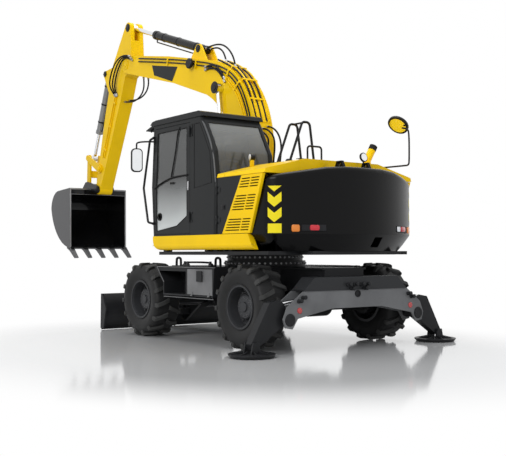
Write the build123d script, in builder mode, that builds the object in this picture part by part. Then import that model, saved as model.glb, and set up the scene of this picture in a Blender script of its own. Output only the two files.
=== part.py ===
from build123d import *
from math import cos, hypot, pi, radians, sin
import os

os.makedirs("parts", exist_ok=True)

# Wheeled excavator, millimetres. x runs forward to the blade and the boom's end,
# y to the left, z up from the floor.

# The frame that sizes are given in starts at the slewing centre on the floor.
# SLEW_X puts the middle of the whole machine's length at the origin.
SLEW_X = -1938

# Wheels and axles
WHEELBASE = 2437
REAR_AXLE_X = -1094
FRONT_AXLE_X = REAR_AXLE_X + WHEELBASE
TYRE_R = 530
TYRE_W = 420
LUG_HEIGHT = 34
LUGS_PER_SIDE = 15
RIM_R = 254
RIM_FLANGE = 24
WHEEL_Y = 1060
AXLE_Z = TYRE_R
HUB_R = 150
KINGPIN_Y = 860
STEER_ARM_X = 170
STEER_ARM_Y = 800

# Clearances: a face that turns or slides beside another, a bar in its bore
FACE_GAP = 0.3
BORE_GAP = 0.05
SIDE_GAP = 5

# Chassis
FRAME_LOW = 700
FRAME_TOP = 980
FRAME_HALF = 330
TURRET_R = 560
DECK_PLATE = 25
RING_R = 570
RING_LOW = FRAME_TOP + DECK_PLATE
RING_MID = 1088
RING_TOP = 1170
FRAME_FRONT = 1900
BEAM_REAR = -1880
BEAM_FRONT = -1640
BOX_IN = 600

# Upper structure
UPPER_HALF = 1260
BASE_TOP = 1215
SKIRT_LOW = 1235
SKIRT_TOP = 1430
TAIL_R = 2070
WEIGHT_HALF = 1190
WEIGHT_FRONT = 445 - TAIL_R
WEIGHT_TOP = 2240
HOOD_TOP = 2350
HOOD_EDGE = 2150
HOOD_FRONT = -790
CAB_INNER_Y = 285
CAB_WALL = 45
CAB_ROOF_Z = 3060

# Working arm pins, x and z
BOOM_FOOT = (120, 1660)
BOOM_RAM_BASE = (520, 1330)
BOOM_RAM_EYE = (860, 3640)
ARM_RAM_BASE = (1540, 4370)
ARM_PIN = (3780, 4500)
ARM_RAM_EYE = (3760, 5150)
BUCKET_PIN = (4890, 2370)
ROCKER_PIN = (4800, 2740)
ROCKER_END = (5290, 2990)
LINK_PIN = (5310, 2475)
BUCKET_RAM_BASE = (4660, 4480)
BOOM_HALF = 155
ARM_HALF = 125
BUCKET_HALF = 580
PLATE = 20


def side(y=0):
    """Upright plane along the machine at y: its x runs forward, its y runs up."""
    return Plane(origin=(SLEW_X, y, 0), x_dir=(1, 0, 0), z_dir=(0, -1, 0))


def across(x=0):
    """Upright plane across the machine at x: its x runs to the left, its y runs up."""
    return Plane(origin=(SLEW_X + x, 0, 0), x_dir=(0, 1, 0), z_dir=(1, 0, 0))


def plan(z=0):
    """Level plane at height z: its x runs forward, its y runs to the left."""
    return Plane(origin=(SLEW_X, 0, z), x_dir=(1, 0, 0), z_dir=(0, 0, 1))


def at(x, y, z):
    """A point given from the slewing centre."""
    return Vector(SLEW_X + x, y, z)


def plate(plane, outline, thickness, mode=Mode.ADD):
    """A plate with straight edges, its thickness measured from the plane."""
    with BuildSketch(plane) as cut:
        with BuildLine():
            Polyline(*outline, close=True)
        make_face()
    extrude(cut.sketch, amount=thickness, mode=mode)


def block(x, y, z, mode=Mode.ADD):
    """A square block between two places along each direction."""
    plate(plan(z[0]), [(x[0], y[0]), (x[1], y[0]), (x[1], y[1]), (x[0], y[1])], z[1] - z[0], mode)


def bar(start, end, radius, mode=Mode.ADD):
    """A round bar from one point to another."""
    with BuildSketch(Plane(origin=start, z_dir=end - start)) as cut:
        Circle(radius)
    extrude(cut.sketch, amount=(end - start).length, mode=mode)


def tube(points, radius, bend):
    """A round tube along points, with its corners bent to a radius."""
    points = [at(*place) for place in points]
    with BuildLine(mode=Mode.PRIVATE) as path:
        if len(points) > 2:
            FilletPolyline(*points, radius=bend)
        else:
            Line(*points)
    with BuildSketch(Plane(origin=points[0], z_dir=points[1] - points[0])) as cut:
        Circle(radius)
    sweep(cut.sketch, path=path.line)


def cross_pin(place, low_y, high_y, radius, mode=Mode.ADD):
    """A round bar across the machine through a pin's place."""
    bar(at(place[0], low_y, place[1]), at(place[0], high_y, place[1]), radius, mode)


def toward(start, end, length):
    """The point on the line from start to end at a length from start."""
    run = hypot(end[0] - start[0], end[1] - start[1])
    return (start[0] + (end[0] - start[0]) * length / run,
            start[1] + (end[1] - start[1]) * length / run)


def point(place, y=0):
    """A pin's place as a point at y."""
    return at(place[0], y, place[1])


def ram_barrel(base, end, y, length, radius, rod_radius, eye_radius, eye_width):
    """A cylinder barrel with its base eye, bored for the rod, from base towards end."""
    eye_exit = toward(base, end, eye_radius * 0.7)
    mouth = toward(base, end, length)
    gland = toward(base, end, length - 2 * rod_radius)
    cross_pin(base, y - eye_width / 2, y + eye_width / 2, eye_radius)
    bar(point(eye_exit, y), point(mouth, y), radius)
    bar(point(gland, y), point(mouth, y), radius + 8)
    bore_start = toward(base, end, eye_radius + 40)
    bore_end = toward(base, end, length + 1)
    bar(point(bore_start, y), point(bore_end, y), rod_radius + BORE_GAP, Mode.SUBTRACT)


def ram_rod(base, end, y, start, rod_radius, eye_radius, eye_width):
    """A piston rod that starts inside the barrel and ends in its eye."""
    inner = toward(base, end, start)
    bar(point(inner, y), point(end, y), rod_radius)
    cross_pin(end, y - eye_width / 2, y + eye_width / 2, eye_radius)


# Chassis frame: a welded box on the centre line with the round turret that
# carries the fixed half of the slewing ring, brackets for the front axle's pivot and
# for the blade, and the arms that hold the step boxes.
TRUNNION_R = 60
BRACKET_X = 235
BRACKET_T = 35
BLADE_PIN = (2010, 430)
BLADE_RAM_BASE = (1960, 910)
BLADE_BRACKET_Y = 300
with BuildPart() as chassis_frame:
    plate(plan(FRAME_LOW), [(BEAM_FRONT, -FRAME_HALF), (-760, -FRAME_HALF), (-430, -TURRET_R * 0.8),
                            (430, -TURRET_R * 0.8), (760, -FRAME_HALF), (FRAME_FRONT, -FRAME_HALF),
                            (FRAME_FRONT, FRAME_HALF), (760, FRAME_HALF), (430, TURRET_R * 0.8),
                            (-430, TURRET_R * 0.8), (-760, FRAME_HALF), (BEAM_FRONT, FRAME_HALF)],
          FRAME_TOP - FRAME_LOW)
    bar(at(0, 0, FRAME_LOW - 60), at(0, 0, RING_LOW), TURRET_R)
    plate(plan(FRAME_TOP), [(BEAM_FRONT, -FRAME_HALF - 40), (-620, -FRAME_HALF - 40), (-430, -TURRET_R),
                            (430, -TURRET_R), (620, -FRAME_HALF - 40), (FRAME_FRONT, -FRAME_HALF - 40),
                            (FRAME_FRONT, FRAME_HALF + 40), (620, FRAME_HALF + 40), (430, TURRET_R),
                            (-430, TURRET_R), (-620, FRAME_HALF + 40), (BEAM_FRONT, FRAME_HALF + 40)],
          DECK_PLATE)
    for bracket_x in (FRONT_AXLE_X - BRACKET_X - BRACKET_T, FRONT_AXLE_X + BRACKET_X):
        plate(across(bracket_x), [(-260, FRAME_LOW), (-110, AXLE_Z - 90), (110, AXLE_Z - 90), (260, FRAME_LOW)],
              BRACKET_T)
    bar(at(FRONT_AXLE_X - BRACKET_X - 60, 0, AXLE_Z), at(FRONT_AXLE_X + BRACKET_X + 60, 0, AXLE_Z),
        TRUNNION_R + FACE_GAP, Mode.SUBTRACT)
    for y in (-BLADE_BRACKET_Y - 25, BLADE_BRACKET_Y):
        plate(side(y + 25), [(FRAME_FRONT - 150, FRAME_TOP), (1990, 965), (2030, 900), (2080, 480), (2080, 400), (2010, 350),
                             (1930, 400), (FRAME_FRONT - 20, FRAME_LOW), (FRAME_FRONT - 150, FRAME_LOW)], 25)
    block((FRAME_FRONT - 5, FRAME_FRONT + 8), (-BLADE_BRACKET_Y, BLADE_BRACKET_Y), (520, FRAME_TOP))
    cross_pin(BLADE_RAM_BASE, -BLADE_BRACKET_Y, BLADE_BRACKET_Y, 28)
    cross_pin(BLADE_PIN, -BLADE_BRACKET_Y - 26, BLADE_BRACKET_Y + 26, 32 + BORE_GAP, Mode.SUBTRACT)
    with BuildSketch(plan(RING_LOW)):
        Circle(RING_R)
        Circle(RING_R - 110, mode=Mode.SUBTRACT)
    extrude(amount=RING_MID - RING_LOW)
    for x in (-330, 330):
        for s in (-1, 1):
            block((x - 40, x + 40), sorted((s * 400, s * BOX_IN)), (FRAME_LOW + 20, 840))
chassis_frame.part.label = "chassis_frame"
export_step(chassis_frame.part, "parts/chassis_frame.step")

# Rear axle: a cast housing with its differential, bolted up to the frame, and the
# travel gearbox with the shafts between the axles.
with BuildPart() as rear_axle:
    hub_face = WHEEL_Y - 40 - FACE_GAP
    bar(at(REAR_AXLE_X, -hub_face, AXLE_Z), at(REAR_AXLE_X, hub_face, AXLE_Z), 95)
    bar(at(REAR_AXLE_X, -150, AXLE_Z), at(REAR_AXLE_X, 150, AXLE_Z), 165)
    bar(at(REAR_AXLE_X, 0, AXLE_Z), at(REAR_AXLE_X + 250, 0, AXLE_Z), 75)
    for s in (-1, 1):
        bar(at(REAR_AXLE_X, s * 820, AXLE_Z), at(REAR_AXLE_X, s * hub_face, AXLE_Z), HUB_R + 15)
        block((REAR_AXLE_X - 100, REAR_AXLE_X + 100), sorted((s * 200, s * 310)), (AXLE_Z, FRAME_LOW))
    block((-330, 130), (-170, 170), (430, FRAME_LOW - 60))
    bar(at(REAR_AXLE_X + 250, 0, AXLE_Z), at(FRONT_AXLE_X - BRACKET_X - 70 - FACE_GAP, 0, AXLE_Z), 38)
    for x in (REAR_AXLE_X + 250, FRONT_AXLE_X - BRACKET_X - 130):
        bar(at(x, 0, AXLE_Z), at(x + 60 - FACE_GAP, 0, AXLE_Z), 62)
rear_axle.part.label = "rear_axle"
export_step(rear_axle.part, "parts/rear_axle.step")

# Front axle: swings on the trunnions under the frame and ends in forks that hold
# the steering knuckles. The double-ended steering cylinder is bolted ahead of it.
KNUCKLE_HALF = 100
FORK_R = 58
STEER_Z = AXLE_Z + 62
with BuildPart() as front_axle:
    bar(at(FRONT_AXLE_X, -690, AXLE_Z), at(FRONT_AXLE_X, 690, AXLE_Z), 90)
    bar(at(FRONT_AXLE_X, -130, AXLE_Z), at(FRONT_AXLE_X, 130, AXLE_Z), 155)
    bar(at(FRONT_AXLE_X - BRACKET_X - 70, 0, AXLE_Z), at(FRONT_AXLE_X + BRACKET_X + 50, 0, AXLE_Z), TRUNNION_R)
    for s in (-1, 1):
        block((FRONT_AXLE_X - FORK_R, FRONT_AXLE_X + FORK_R), sorted((s * 640, s * 740)),
              (AXLE_Z - KNUCKLE_HALF - 35, AXLE_Z + KNUCKLE_HALF + 35))
        for low in (AXLE_Z - KNUCKLE_HALF - 35, AXLE_Z + KNUCKLE_HALF + FACE_GAP):
            block((FRONT_AXLE_X - FORK_R, FRONT_AXLE_X + FORK_R), sorted((s * 640, s * KINGPIN_Y)),
                  (low, low + 35 - FACE_GAP))
            bar(at(FRONT_AXLE_X, s * KINGPIN_Y, low), at(FRONT_AXLE_X, s * KINGPIN_Y, low + 35 - FACE_GAP), FORK_R)
        block((FRONT_AXLE_X, FRONT_AXLE_X + STEER_ARM_X), sorted((s * 180, s * 225)),
              (AXLE_Z + 30, STEER_Z + 30))
    bar(at(FRONT_AXLE_X + STEER_ARM_X, -240, STEER_Z), at(FRONT_AXLE_X + STEER_ARM_X, 240, STEER_Z), 48)
    bar(at(FRONT_AXLE_X + STEER_ARM_X, -241, STEER_Z), at(FRONT_AXLE_X + STEER_ARM_X, 241, STEER_Z),
        24 + BORE_GAP, Mode.SUBTRACT)
front_axle.part.label = "front_axle"
export_step(front_axle.part, "parts/front_axle.step")

# Steering rod: one bar through the steering cylinder, with an eye over each arm.
STEER_ARM_TOP = STEER_Z - 30
with BuildPart() as steering_rod:
    bar(at(FRONT_AXLE_X + STEER_ARM_X, -STEER_ARM_Y, STEER_Z), at(FRONT_AXLE_X + STEER_ARM_X, STEER_ARM_Y, STEER_Z), 24)
    for s in (-1, 1):
        bar(at(FRONT_AXLE_X + STEER_ARM_X, s * STEER_ARM_Y, STEER_ARM_TOP + FACE_GAP),
            at(FRONT_AXLE_X + STEER_ARM_X, s * STEER_ARM_Y, STEER_Z + 26), 30)
steering_rod.part.label = "steering_rod"
export_step(steering_rod.part, "parts/steering_rod.step")

# Steering knuckles: a kingpin barrel with the wheel's spindle and the steering arm.
for label, s in (("knuckle_left", 1), ("knuckle_right", -1)):
    with BuildPart() as knuckle:
        bar(at(FRONT_AXLE_X, s * KINGPIN_Y, AXLE_Z - KNUCKLE_HALF), at(FRONT_AXLE_X, s * KINGPIN_Y, AXLE_Z + KNUCKLE_HALF),
            FORK_R + 10)
        bar(at(FRONT_AXLE_X, s * KINGPIN_Y, AXLE_Z), at(FRONT_AXLE_X, s * (WHEEL_Y - 40 - FACE_GAP), AXLE_Z), 90)
        bar(at(FRONT_AXLE_X, s * 945, AXLE_Z), at(FRONT_AXLE_X, s * (WHEEL_Y - 40 - FACE_GAP), AXLE_Z), HUB_R + 15)
        plate(plan(STEER_ARM_TOP - 26), [(FRONT_AXLE_X, s * (KINGPIN_Y - 45)), (FRONT_AXLE_X, s * (KINGPIN_Y + 45)),
                                         (FRONT_AXLE_X + STEER_ARM_X, s * (STEER_ARM_Y + 28)),
                                         (FRONT_AXLE_X + STEER_ARM_X + 30, s * STEER_ARM_Y),
                                         (FRONT_AXLE_X + STEER_ARM_X, s * (STEER_ARM_Y - 28))], 26)
    knuckle.part.label = label
    export_step(knuckle.part, f"parts/{label}.step")

# Wheels: a deep dished rim with its hub reduction, and a single wide tyre.
# columns: name, x of the axle, side of the machine
WHEELS = (("front_left", FRONT_AXLE_X, 1), ("front_right", FRONT_AXLE_X, -1),
          ("rear_left", REAR_AXLE_X, 1), ("rear_right", REAR_AXLE_X, -1))
RIM_HALF = 170
RIM_WALL = 12
for corner, axle_x, s in WHEELS:
    centre = at(axle_x, s * WHEEL_Y, AXLE_Z)
    section = Plane(origin=centre, x_dir=(0, s, 0), z_dir=(s, 0, 0))
    axle_line = Axis(centre, (0, 1, 0))
    with BuildPart() as rim:
        with BuildSketch(section):
            with BuildLine():
                Polyline((-RIM_HALF - 14, RIM_R + RIM_FLANGE), (-RIM_HALF, RIM_R + RIM_FLANGE), (-RIM_HALF, RIM_R),
                         (RIM_HALF, RIM_R), (RIM_HALF, RIM_R + RIM_FLANGE), (RIM_HALF + 14, RIM_R + RIM_FLANGE),
                         (RIM_HALF + 14, RIM_R - 4), (RIM_HALF - 20, RIM_R - RIM_WALL), (20, RIM_R - RIM_WALL),
                         (6, HUB_R + 30), (6, HUB_R), (92, HUB_R), (104, HUB_R - 14), (104, 62), (122, 58),
                         (122, 0), (-40, 0), (-40, HUB_R + 20), (-14, HUB_R + 30), (0, RIM_R - RIM_WALL),
                         (-RIM_HALF - 14, RIM_R - RIM_WALL), close=True)
            make_face()
        revolve(axis=axle_line)
    rim.part.label = f"rim_{corner}"
    export_step(rim.part, f"parts/rim_{corner}.step")

    half = TYRE_W / 2
    tread = TYRE_R - LUG_HEIGHT
    with BuildPart() as tyre:
        with BuildSketch(section):
            with BuildLine():
                Polyline((-RIM_HALF, RIM_R), (-RIM_HALF, RIM_R + RIM_FLANGE + 6), (-half + 4, RIM_R + 85),
                         (-half, tread - 95), (-half + 22, tread - 12), (0, tread), (half - 22, tread - 12),
                         (half, tread - 95), (half - 4, RIM_R + 85), (RIM_HALF, RIM_R + RIM_FLANGE + 6),
                         (RIM_HALF, RIM_R), close=True)
            make_face()
        revolve(axis=axle_line)
        lug_base = tread - 62
        lug_top = TYRE_R - 2
        lugs = []
        for count in range(2 * LUGS_PER_SIDE):
            lean = 1 if count % 2 else -1
            turn = pi * (count + 0.5) / LUGS_PER_SIDE
            outward = Vector(cos(turn), 0, sin(turn))
            with BuildSketch(Plane(origin=centre + outward * lug_base, x_dir=(0, lean, 0), z_dir=outward),
                             mode=Mode.PRIVATE) as lug:
                with BuildLine():
                    Polyline((12, -lean * 62), (150, -lean * 8), (half, -lean * 4), (half, lean * 44),
                             (140, lean * 44), (12, -lean * 8), close=True)
                make_face()
            lugs.append(extrude(lug.sketch, amount=lug_top - lug_base, mode=Mode.PRIVATE))
        add(lugs)
    tyre.part.label = f"tyre_{corner}"
    export_step(tyre.part, f"parts/tyre_{corner}.step")

# Dozing blade: a rolled mouldboard with end plates and a bolted cutting edge, on two
# arms pinned to the frame, with ears for its cylinders.
BLADE_X = 2606
BLADE_HEIGHT = 565
BLADE_HALF = 1233
BLADE_T = 22
BLADE_RAM_EYE = (2400, 440)
BLADE_RAM_Y = (-150, 150)
BLADE_EDGE_H = 130
with BuildPart() as blade:
    with BuildSketch(side(BLADE_HALF)):
        with BuildLine():
            Line((BLADE_X - BLADE_T, 60), (BLADE_X, 60))
            ThreePointArc((BLADE_X, 60), (BLADE_X - 105, 330), (BLADE_X - 10, BLADE_HEIGHT))
            Line((BLADE_X - 10, BLADE_HEIGHT), (BLADE_X - 10 - BLADE_T, BLADE_HEIGHT))
            ThreePointArc((BLADE_X - 10 - BLADE_T, BLADE_HEIGHT), (BLADE_X - 105 - BLADE_T, 330), (BLADE_X - BLADE_T, 60))
        make_face()
    extrude(amount=2 * BLADE_HALF)
    for y in (-BLADE_HALF + BLADE_T, BLADE_HALF):
        plate(side(y), [(BLADE_X + 6, 30), (BLADE_X - 6, BLADE_HEIGHT), (BLADE_X - 60, BLADE_HEIGHT),
                        (BLADE_X - 170, 330), (BLADE_X - 90, 30)], BLADE_T)
    for y in (-230, 275):
        plate(side(y), [(1950, 400), (1960, 480), (2030, 500), (BLADE_X - 140, 470), (BLADE_X - 108, 330),
                        (BLADE_X - 60, 130), (BLADE_X - 150, 90), (2330, 170), (2050, 360), (1980, 370)], 45)
    cross_pin(BLADE_PIN, -BLADE_BRACKET_Y + SIDE_GAP, BLADE_BRACKET_Y - SIDE_GAP, 60)
    cross_pin(BLADE_PIN, -BLADE_BRACKET_Y - 25, BLADE_BRACKET_Y + 25, 32)
    block((2300, 2400), (-240, 240), (200, 300))
    for ram_y in BLADE_RAM_Y:
        for y in (ram_y - 31, ram_y + 31 + 20):
            plate(side(y), [(2330, 250), (BLADE_RAM_EYE[0] - 45, BLADE_RAM_EYE[1]), (BLADE_RAM_EYE[0] - 20, BLADE_RAM_EYE[1] + 42),
                            (BLADE_RAM_EYE[0] + 30, BLADE_RAM_EYE[1] + 40), (BLADE_X - 115, 400), (BLADE_X - 115, 250)], 20)
    plate(side(BLADE_HALF - BLADE_T), [(BLADE_X - 8, 66), (BLADE_X + 10, 6), (BLADE_X + 26, 6), (BLADE_X + 14, 60),
                                       (BLADE_X - 6, BLADE_EDGE_H)], 2 * (BLADE_HALF - BLADE_T))
blade.part.label = "blade"
export_step(blade.part, "parts/blade.step")

# Blade cylinders, one each side of the middle, between the frame and the blade.
with BuildPart() as blade_barrels:
    for y in BLADE_RAM_Y:
        ram_barrel(BLADE_RAM_BASE, BLADE_RAM_EYE, y, 370, 48, 25, 45, 60)
        cross_pin(BLADE_RAM_BASE, y - 31, y + 31, 28 + BORE_GAP, Mode.SUBTRACT)
blade_barrels.part.label = "blade_barrels"
export_step(blade_barrels.part, "parts/blade_barrels.step")

with BuildPart() as blade_rods:
    for y in BLADE_RAM_Y:
        ram_rod(BLADE_RAM_BASE, BLADE_RAM_EYE, y, 275, 25, 38, 60)
blade_rods.part.label = "blade_rods"
export_step(blade_rods.part, "parts/blade_rods.step")

# Stabiliser beam: an inverted channel across the tail of the frame with a sloped
# upper face, open below, that houses both leg cylinders and the legs' pivots.
LEG_PIN_Y = 1080
LEG_PIN_Z = 410
LEG_EYE_Y = 1180
LEG_EYE_Z = 590
LEG_RAM_Y = 170
LEG_RAM_Z = 690
LEG_X = -1757
LEG_HALF = 55
BEAM_PLATE = 20
BEAM_OUTLINE = [(0, 900), (700, 900), (846, 758), (1120, 560), (1180, 420), (1150, 320), (1040, 300), (960, 420),
                (420, 520), (0, 520)]
with BuildPart() as stabiliser_beam:
    outline = BEAM_OUTLINE + [(-y, z) for y, z in reversed(BEAM_OUTLINE[1:-1])]
    plate(across(BEAM_FRONT - BEAM_PLATE), outline, BEAM_PLATE)
    plate(across(BEAM_REAR), outline, BEAM_PLATE)
    for s in (-1, 1):
        plate(across(BEAM_REAR), [(0, 900), (s * 700, 900), (s * 846, 758), (s * 834, 740), (s * 690, 880), (0, 880)],
              BEAM_FRONT - BEAM_REAR)
        bar(at(BEAM_REAR, s * LEG_PIN_Y, LEG_PIN_Z), at(BEAM_FRONT, s * LEG_PIN_Y, LEG_PIN_Z), 30)
        bar(at(BEAM_REAR, s * LEG_RAM_Y, LEG_RAM_Z), at(BEAM_FRONT, s * LEG_RAM_Y, LEG_RAM_Z), 25)
stabiliser_beam.part.label = "stabiliser_beam"
export_step(stabiliser_beam.part, "parts/stabiliser_beam.step")

# Stabiliser legs: box arms on their pivots, with the cylinder's ear above and a
# fork for the foot below. Feet: round dished pads that hang on a cross pin.
FOOT_Y = 1545
FOOT_PIN_Z = 130
FOOT_R = 275
for label, s in (("left", 1), ("right", -1)):
    with BuildPart() as leg:
        plate(across(LEG_X - LEG_HALF), [(s * (LEG_PIN_Y - 70), LEG_PIN_Z), (s * (LEG_PIN_Y - 40), LEG_PIN_Z + 70),
                                         (s * (LEG_EYE_Y - 52), LEG_EYE_Z + 20), (s * LEG_EYE_Y, LEG_EYE_Z + 50),
                                         (s * (LEG_EYE_Y + 150), LEG_EYE_Z + 25), (s * (FOOT_Y + 50), FOOT_PIN_Z + 25),
                                         (s * (FOOT_Y + 25), FOOT_PIN_Z - 45), (s * (FOOT_Y - 45), FOOT_PIN_Z - 25),
                                         (s * (LEG_PIN_Y + 40), LEG_PIN_Z - 65), (s * (LEG_PIN_Y - 40), LEG_PIN_Z - 60)],
              2 * LEG_HALF)
        bar(at(LEG_X - 100, s * LEG_PIN_Y, LEG_PIN_Z), at(LEG_X + 95, s * LEG_PIN_Y, LEG_PIN_Z), 62)
        bar(at(LEG_X - 101, s * LEG_PIN_Y, LEG_PIN_Z), at(LEG_X + 96, s * LEG_PIN_Y, LEG_PIN_Z), 30 + BORE_GAP, Mode.SUBTRACT)
        block((LEG_X - 34, LEG_X + 34), sorted((s * (LEG_EYE_Y - 130), s * (LEG_EYE_Y + 110))), (LEG_EYE_Z - 100, LEG_EYE_Z + 70),
              Mode.SUBTRACT)
        bar(at(LEG_X - LEG_HALF - 1, s * FOOT_Y, FOOT_PIN_Z), at(LEG_X + LEG_HALF + 1, s * FOOT_Y, FOOT_PIN_Z), 22 + BORE_GAP,
            Mode.SUBTRACT)
    leg.part.label = f"leg_{label}"
    export_step(leg.part, f"parts/leg_{label}.step")

    with BuildPart() as foot:
        with BuildSketch(plan(4)):
            with Locations((LEG_X, s * FOOT_Y)):
                Circle(FOOT_R - 25)
        extrude(amount=26, taper=-40)
        with BuildSketch(plan(30)):
            with Locations((LEG_X, s * FOOT_Y)):
                Circle(FOOT_R)
        extrude(amount=14)
        for x in (LEG_X - LEG_HALF - SIDE_GAP - 28, LEG_X + LEG_HALF + SIDE_GAP):
            plate(across(x), [(s * FOOT_Y - 70, 40), (s * FOOT_Y - 40, FOOT_PIN_Z + 40), (s * FOOT_Y + 40, FOOT_PIN_Z + 40),
                              (s * FOOT_Y + 70, 40)], 28)
        bar(at(LEG_X - LEG_HALF - SIDE_GAP - 28, s * FOOT_Y, FOOT_PIN_Z), at(LEG_X + LEG_HALF + SIDE_GAP + 28, s * FOOT_Y, FOOT_PIN_Z), 22)
    foot.part.label = f"foot_{label}"
    export_step(foot.part, f"parts/foot_{label}.step")

# Leg cylinders lie in the beam, from the middle out to the legs' ears.
for label, s in (("left", 1), ("right", -1)):
    base = at(LEG_X, s * LEG_RAM_Y, LEG_RAM_Z)
    eye = at(LEG_X, s * LEG_EYE_Y, LEG_EYE_Z)
    along = (eye - base).normalized()
    with BuildPart() as leg_barrel:
        bar(base + Vector(-40, 0, 0), base + Vector(40, 0, 0), 52)
        bar(base + along * 30, base + along * 640, 50)
        bar(base + along * 90, base + along * 641, 28 + BORE_GAP, Mode.SUBTRACT)
        bar(base + Vector(-41, 0, 0), base + Vector(41, 0, 0), 25 + BORE_GAP, Mode.SUBTRACT)
    leg_barrel.part.label = f"leg_barrel_{label}"
    export_step(leg_barrel.part, f"parts/leg_barrel_{label}.step")
    with BuildPart() as leg_rod:
        bar(base + along * 430, eye, 28)
        bar(eye + Vector(-28, 0, 0), eye + Vector(28, 0, 0), 40)
    leg_rod.part.label = f"leg_rod_{label}"
    export_step(leg_rod.part, f"parts/leg_rod_{label}.step")

# Step and tool boxes between the wheels. The front half is an open step recess;
# behind it is a closed box, on the left a tool box with a hinged lid.
BOX_OUT = 1250
BOX_LOW = 620
BOX_TOP = 1010
BOX_REAR = -560
BOX_MID = 90
BOX_FRONT_LOW = 690
BOX_FRONT_TOP = 930
LID_HINGE = (BOX_OUT + 8.3, BOX_LOW + 14)
with BuildPart() as step_boxes:
    for s in (-1, 1):
        plate(side(s * BOX_OUT), [(BOX_REAR + 30, BOX_LOW), (BOX_FRONT_LOW, BOX_LOW), (BOX_FRONT_LOW, 790),
                                  (BOX_FRONT_TOP, BOX_TOP), (BOX_REAR, BOX_TOP)], s * (BOX_OUT - BOX_IN))
        plate(side(s * (BOX_OUT + 1)), [(BOX_MID + 20, BOX_LOW + 22), (BOX_FRONT_LOW - 20, BOX_LOW + 22),
                                        (BOX_FRONT_LOW - 20, 810), (BOX_FRONT_LOW + 120, 950), (BOX_MID + 20, 950)],
              s * 330, Mode.SUBTRACT)
    block((BOX_REAR + 40, BOX_MID - 10), (BOX_OUT - 400, BOX_OUT + 1), (BOX_LOW + 22, BOX_TOP - 22), Mode.SUBTRACT)
    for x in (-460, -60):
        bar(at(x - 20, LID_HINGE[0], LID_HINGE[1]), at(x + 60, LID_HINGE[0], LID_HINGE[1]), 4)
        for low_x in (x - 20, x + 40 + FACE_GAP):
            bar(at(low_x, LID_HINGE[0], LID_HINGE[1]), at(low_x + 20 - FACE_GAP, LID_HINGE[0], LID_HINGE[1]), 8)
            block((low_x, low_x + 20 - FACE_GAP), (BOX_OUT, BOX_OUT + 6), (BOX_LOW + 2, BOX_LOW + 21))
step_boxes.part.label = "step_boxes"
export_step(step_boxes.part, "parts/step_boxes.step")

LID_T = 20
with BuildPart() as tool_lid:
    block((BOX_REAR + 45, BOX_MID - 15), (BOX_OUT - LID_T, BOX_OUT), (BOX_LOW + 27, BOX_TOP - 27))
    block((-300, -180), (BOX_OUT, BOX_OUT + 12), (BOX_TOP - 100, BOX_TOP - 60))
    for x in (-460, -60):
        bar(at(x + FACE_GAP, LID_HINGE[0], LID_HINGE[1]), at(x + 40, LID_HINGE[0], LID_HINGE[1]), 8)
        block((x + FACE_GAP, x + 40), (BOX_OUT, BOX_OUT + 6), (BOX_LOW + 18, BOX_LOW + 60))
        bar(at(x - 1, LID_HINGE[0], LID_HINGE[1]), at(x + 41, LID_HINGE[0], LID_HINGE[1]), 4 + BORE_GAP, Mode.SUBTRACT)
tool_lid.part.label = "tool_lid"
export_step(tool_lid.part, "parts/tool_lid.step")

# Upper frame: the base plate over the slewing ring, the two ears that hold the
# boom's foot between them, the lugs of the boom cylinders, the engine bay's front wall
# and the turning half of the slewing ring.
DOOR_FRONT = -655
BAY_HINGE_X = DOOR_FRONT + 8
BAY_HINGE_Y = UPPER_HALF + 10
BAY_HINGE_Z = (1580, 1960)
DOOR_POST = 629
EAR_T = 32
EAR_IN = BOOM_HALF + SIDE_GAP
RAM_Y = BOOM_HALF + 59
RAM_EYE_HALF = 57
LUG_T = 24
FOOT_BOSS_R = 130
with BuildPart() as upper_frame:
    plate(plan(RING_TOP), [(-1600, -1180), (920, -1180), (920, 1180), (-1600, 1180)], BASE_TOP - RING_TOP)
    with BuildSketch(plan(RING_MID + FACE_GAP)):
        Circle(RING_R - 40)
        Circle(RING_R - 110, mode=Mode.SUBTRACT)
    extrude(amount=RING_TOP - RING_MID - FACE_GAP)
    for y in (-EAR_IN, EAR_IN + EAR_T):
        plate(side(y), [(-860, BASE_TOP), (-860, 1330), (-350, 1420), (20, 1760), (90, 1790), (200, 1780), (270, 1700),
                        (330, 1460), (400, 1380), (400, BASE_TOP)], EAR_T)
    cross_pin(BOOM_FOOT, -EAR_IN - EAR_T, EAR_IN + EAR_T, 45)
    for s in (-1, 1):
        for y in (s * (RAM_Y - RAM_EYE_HALF - FACE_GAP - LUG_T / 2), s * (RAM_Y + RAM_EYE_HALF + FACE_GAP + LUG_T / 2)):
            plate(side(y + LUG_T / 2), [(430, BASE_TOP), (450, 1350), (490, 1395), (550, 1395), (590, 1350), (640, BASE_TOP)],
                  LUG_T)
        cross_pin(BOOM_RAM_BASE, s * RAM_Y - RAM_EYE_HALF - LUG_T, s * RAM_Y + RAM_EYE_HALF + LUG_T, 35)
    block((-800, -780), (-1150, 1150), (BASE_TOP, HOOD_EDGE))
    block((-1850, -1600), (-700, 700), (RING_TOP, BASE_TOP))
    for s in (-1, 1):
        block((-665, -DOOR_POST), sorted((s * 1100, s * 1151)), (BASE_TOP, HOOD_EDGE - 10))
        for z in BAY_HINGE_Z:
            bar(at(BAY_HINGE_X, s * BAY_HINGE_Y, z - 20), at(BAY_HINGE_X, s * BAY_HINGE_Y, z + 80), 5)
            for low in (z - 20, z + 60 + FACE_GAP):
                bar(at(BAY_HINGE_X, s * BAY_HINGE_Y, low), at(BAY_HINGE_X, s * BAY_HINGE_Y, low + 20 - FACE_GAP), 10)
                block((-DOOR_POST - 12, -DOOR_POST), sorted((s * 1150, s * (BAY_HINGE_Y + 6))), (low, low + 20 - FACE_GAP))
    for x in (-480, 760):
        for y in (CAB_INNER_Y + 80, 1060):
            block((x, x + 90), (y, y + 90), (BASE_TOP, SKIRT_TOP))
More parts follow.
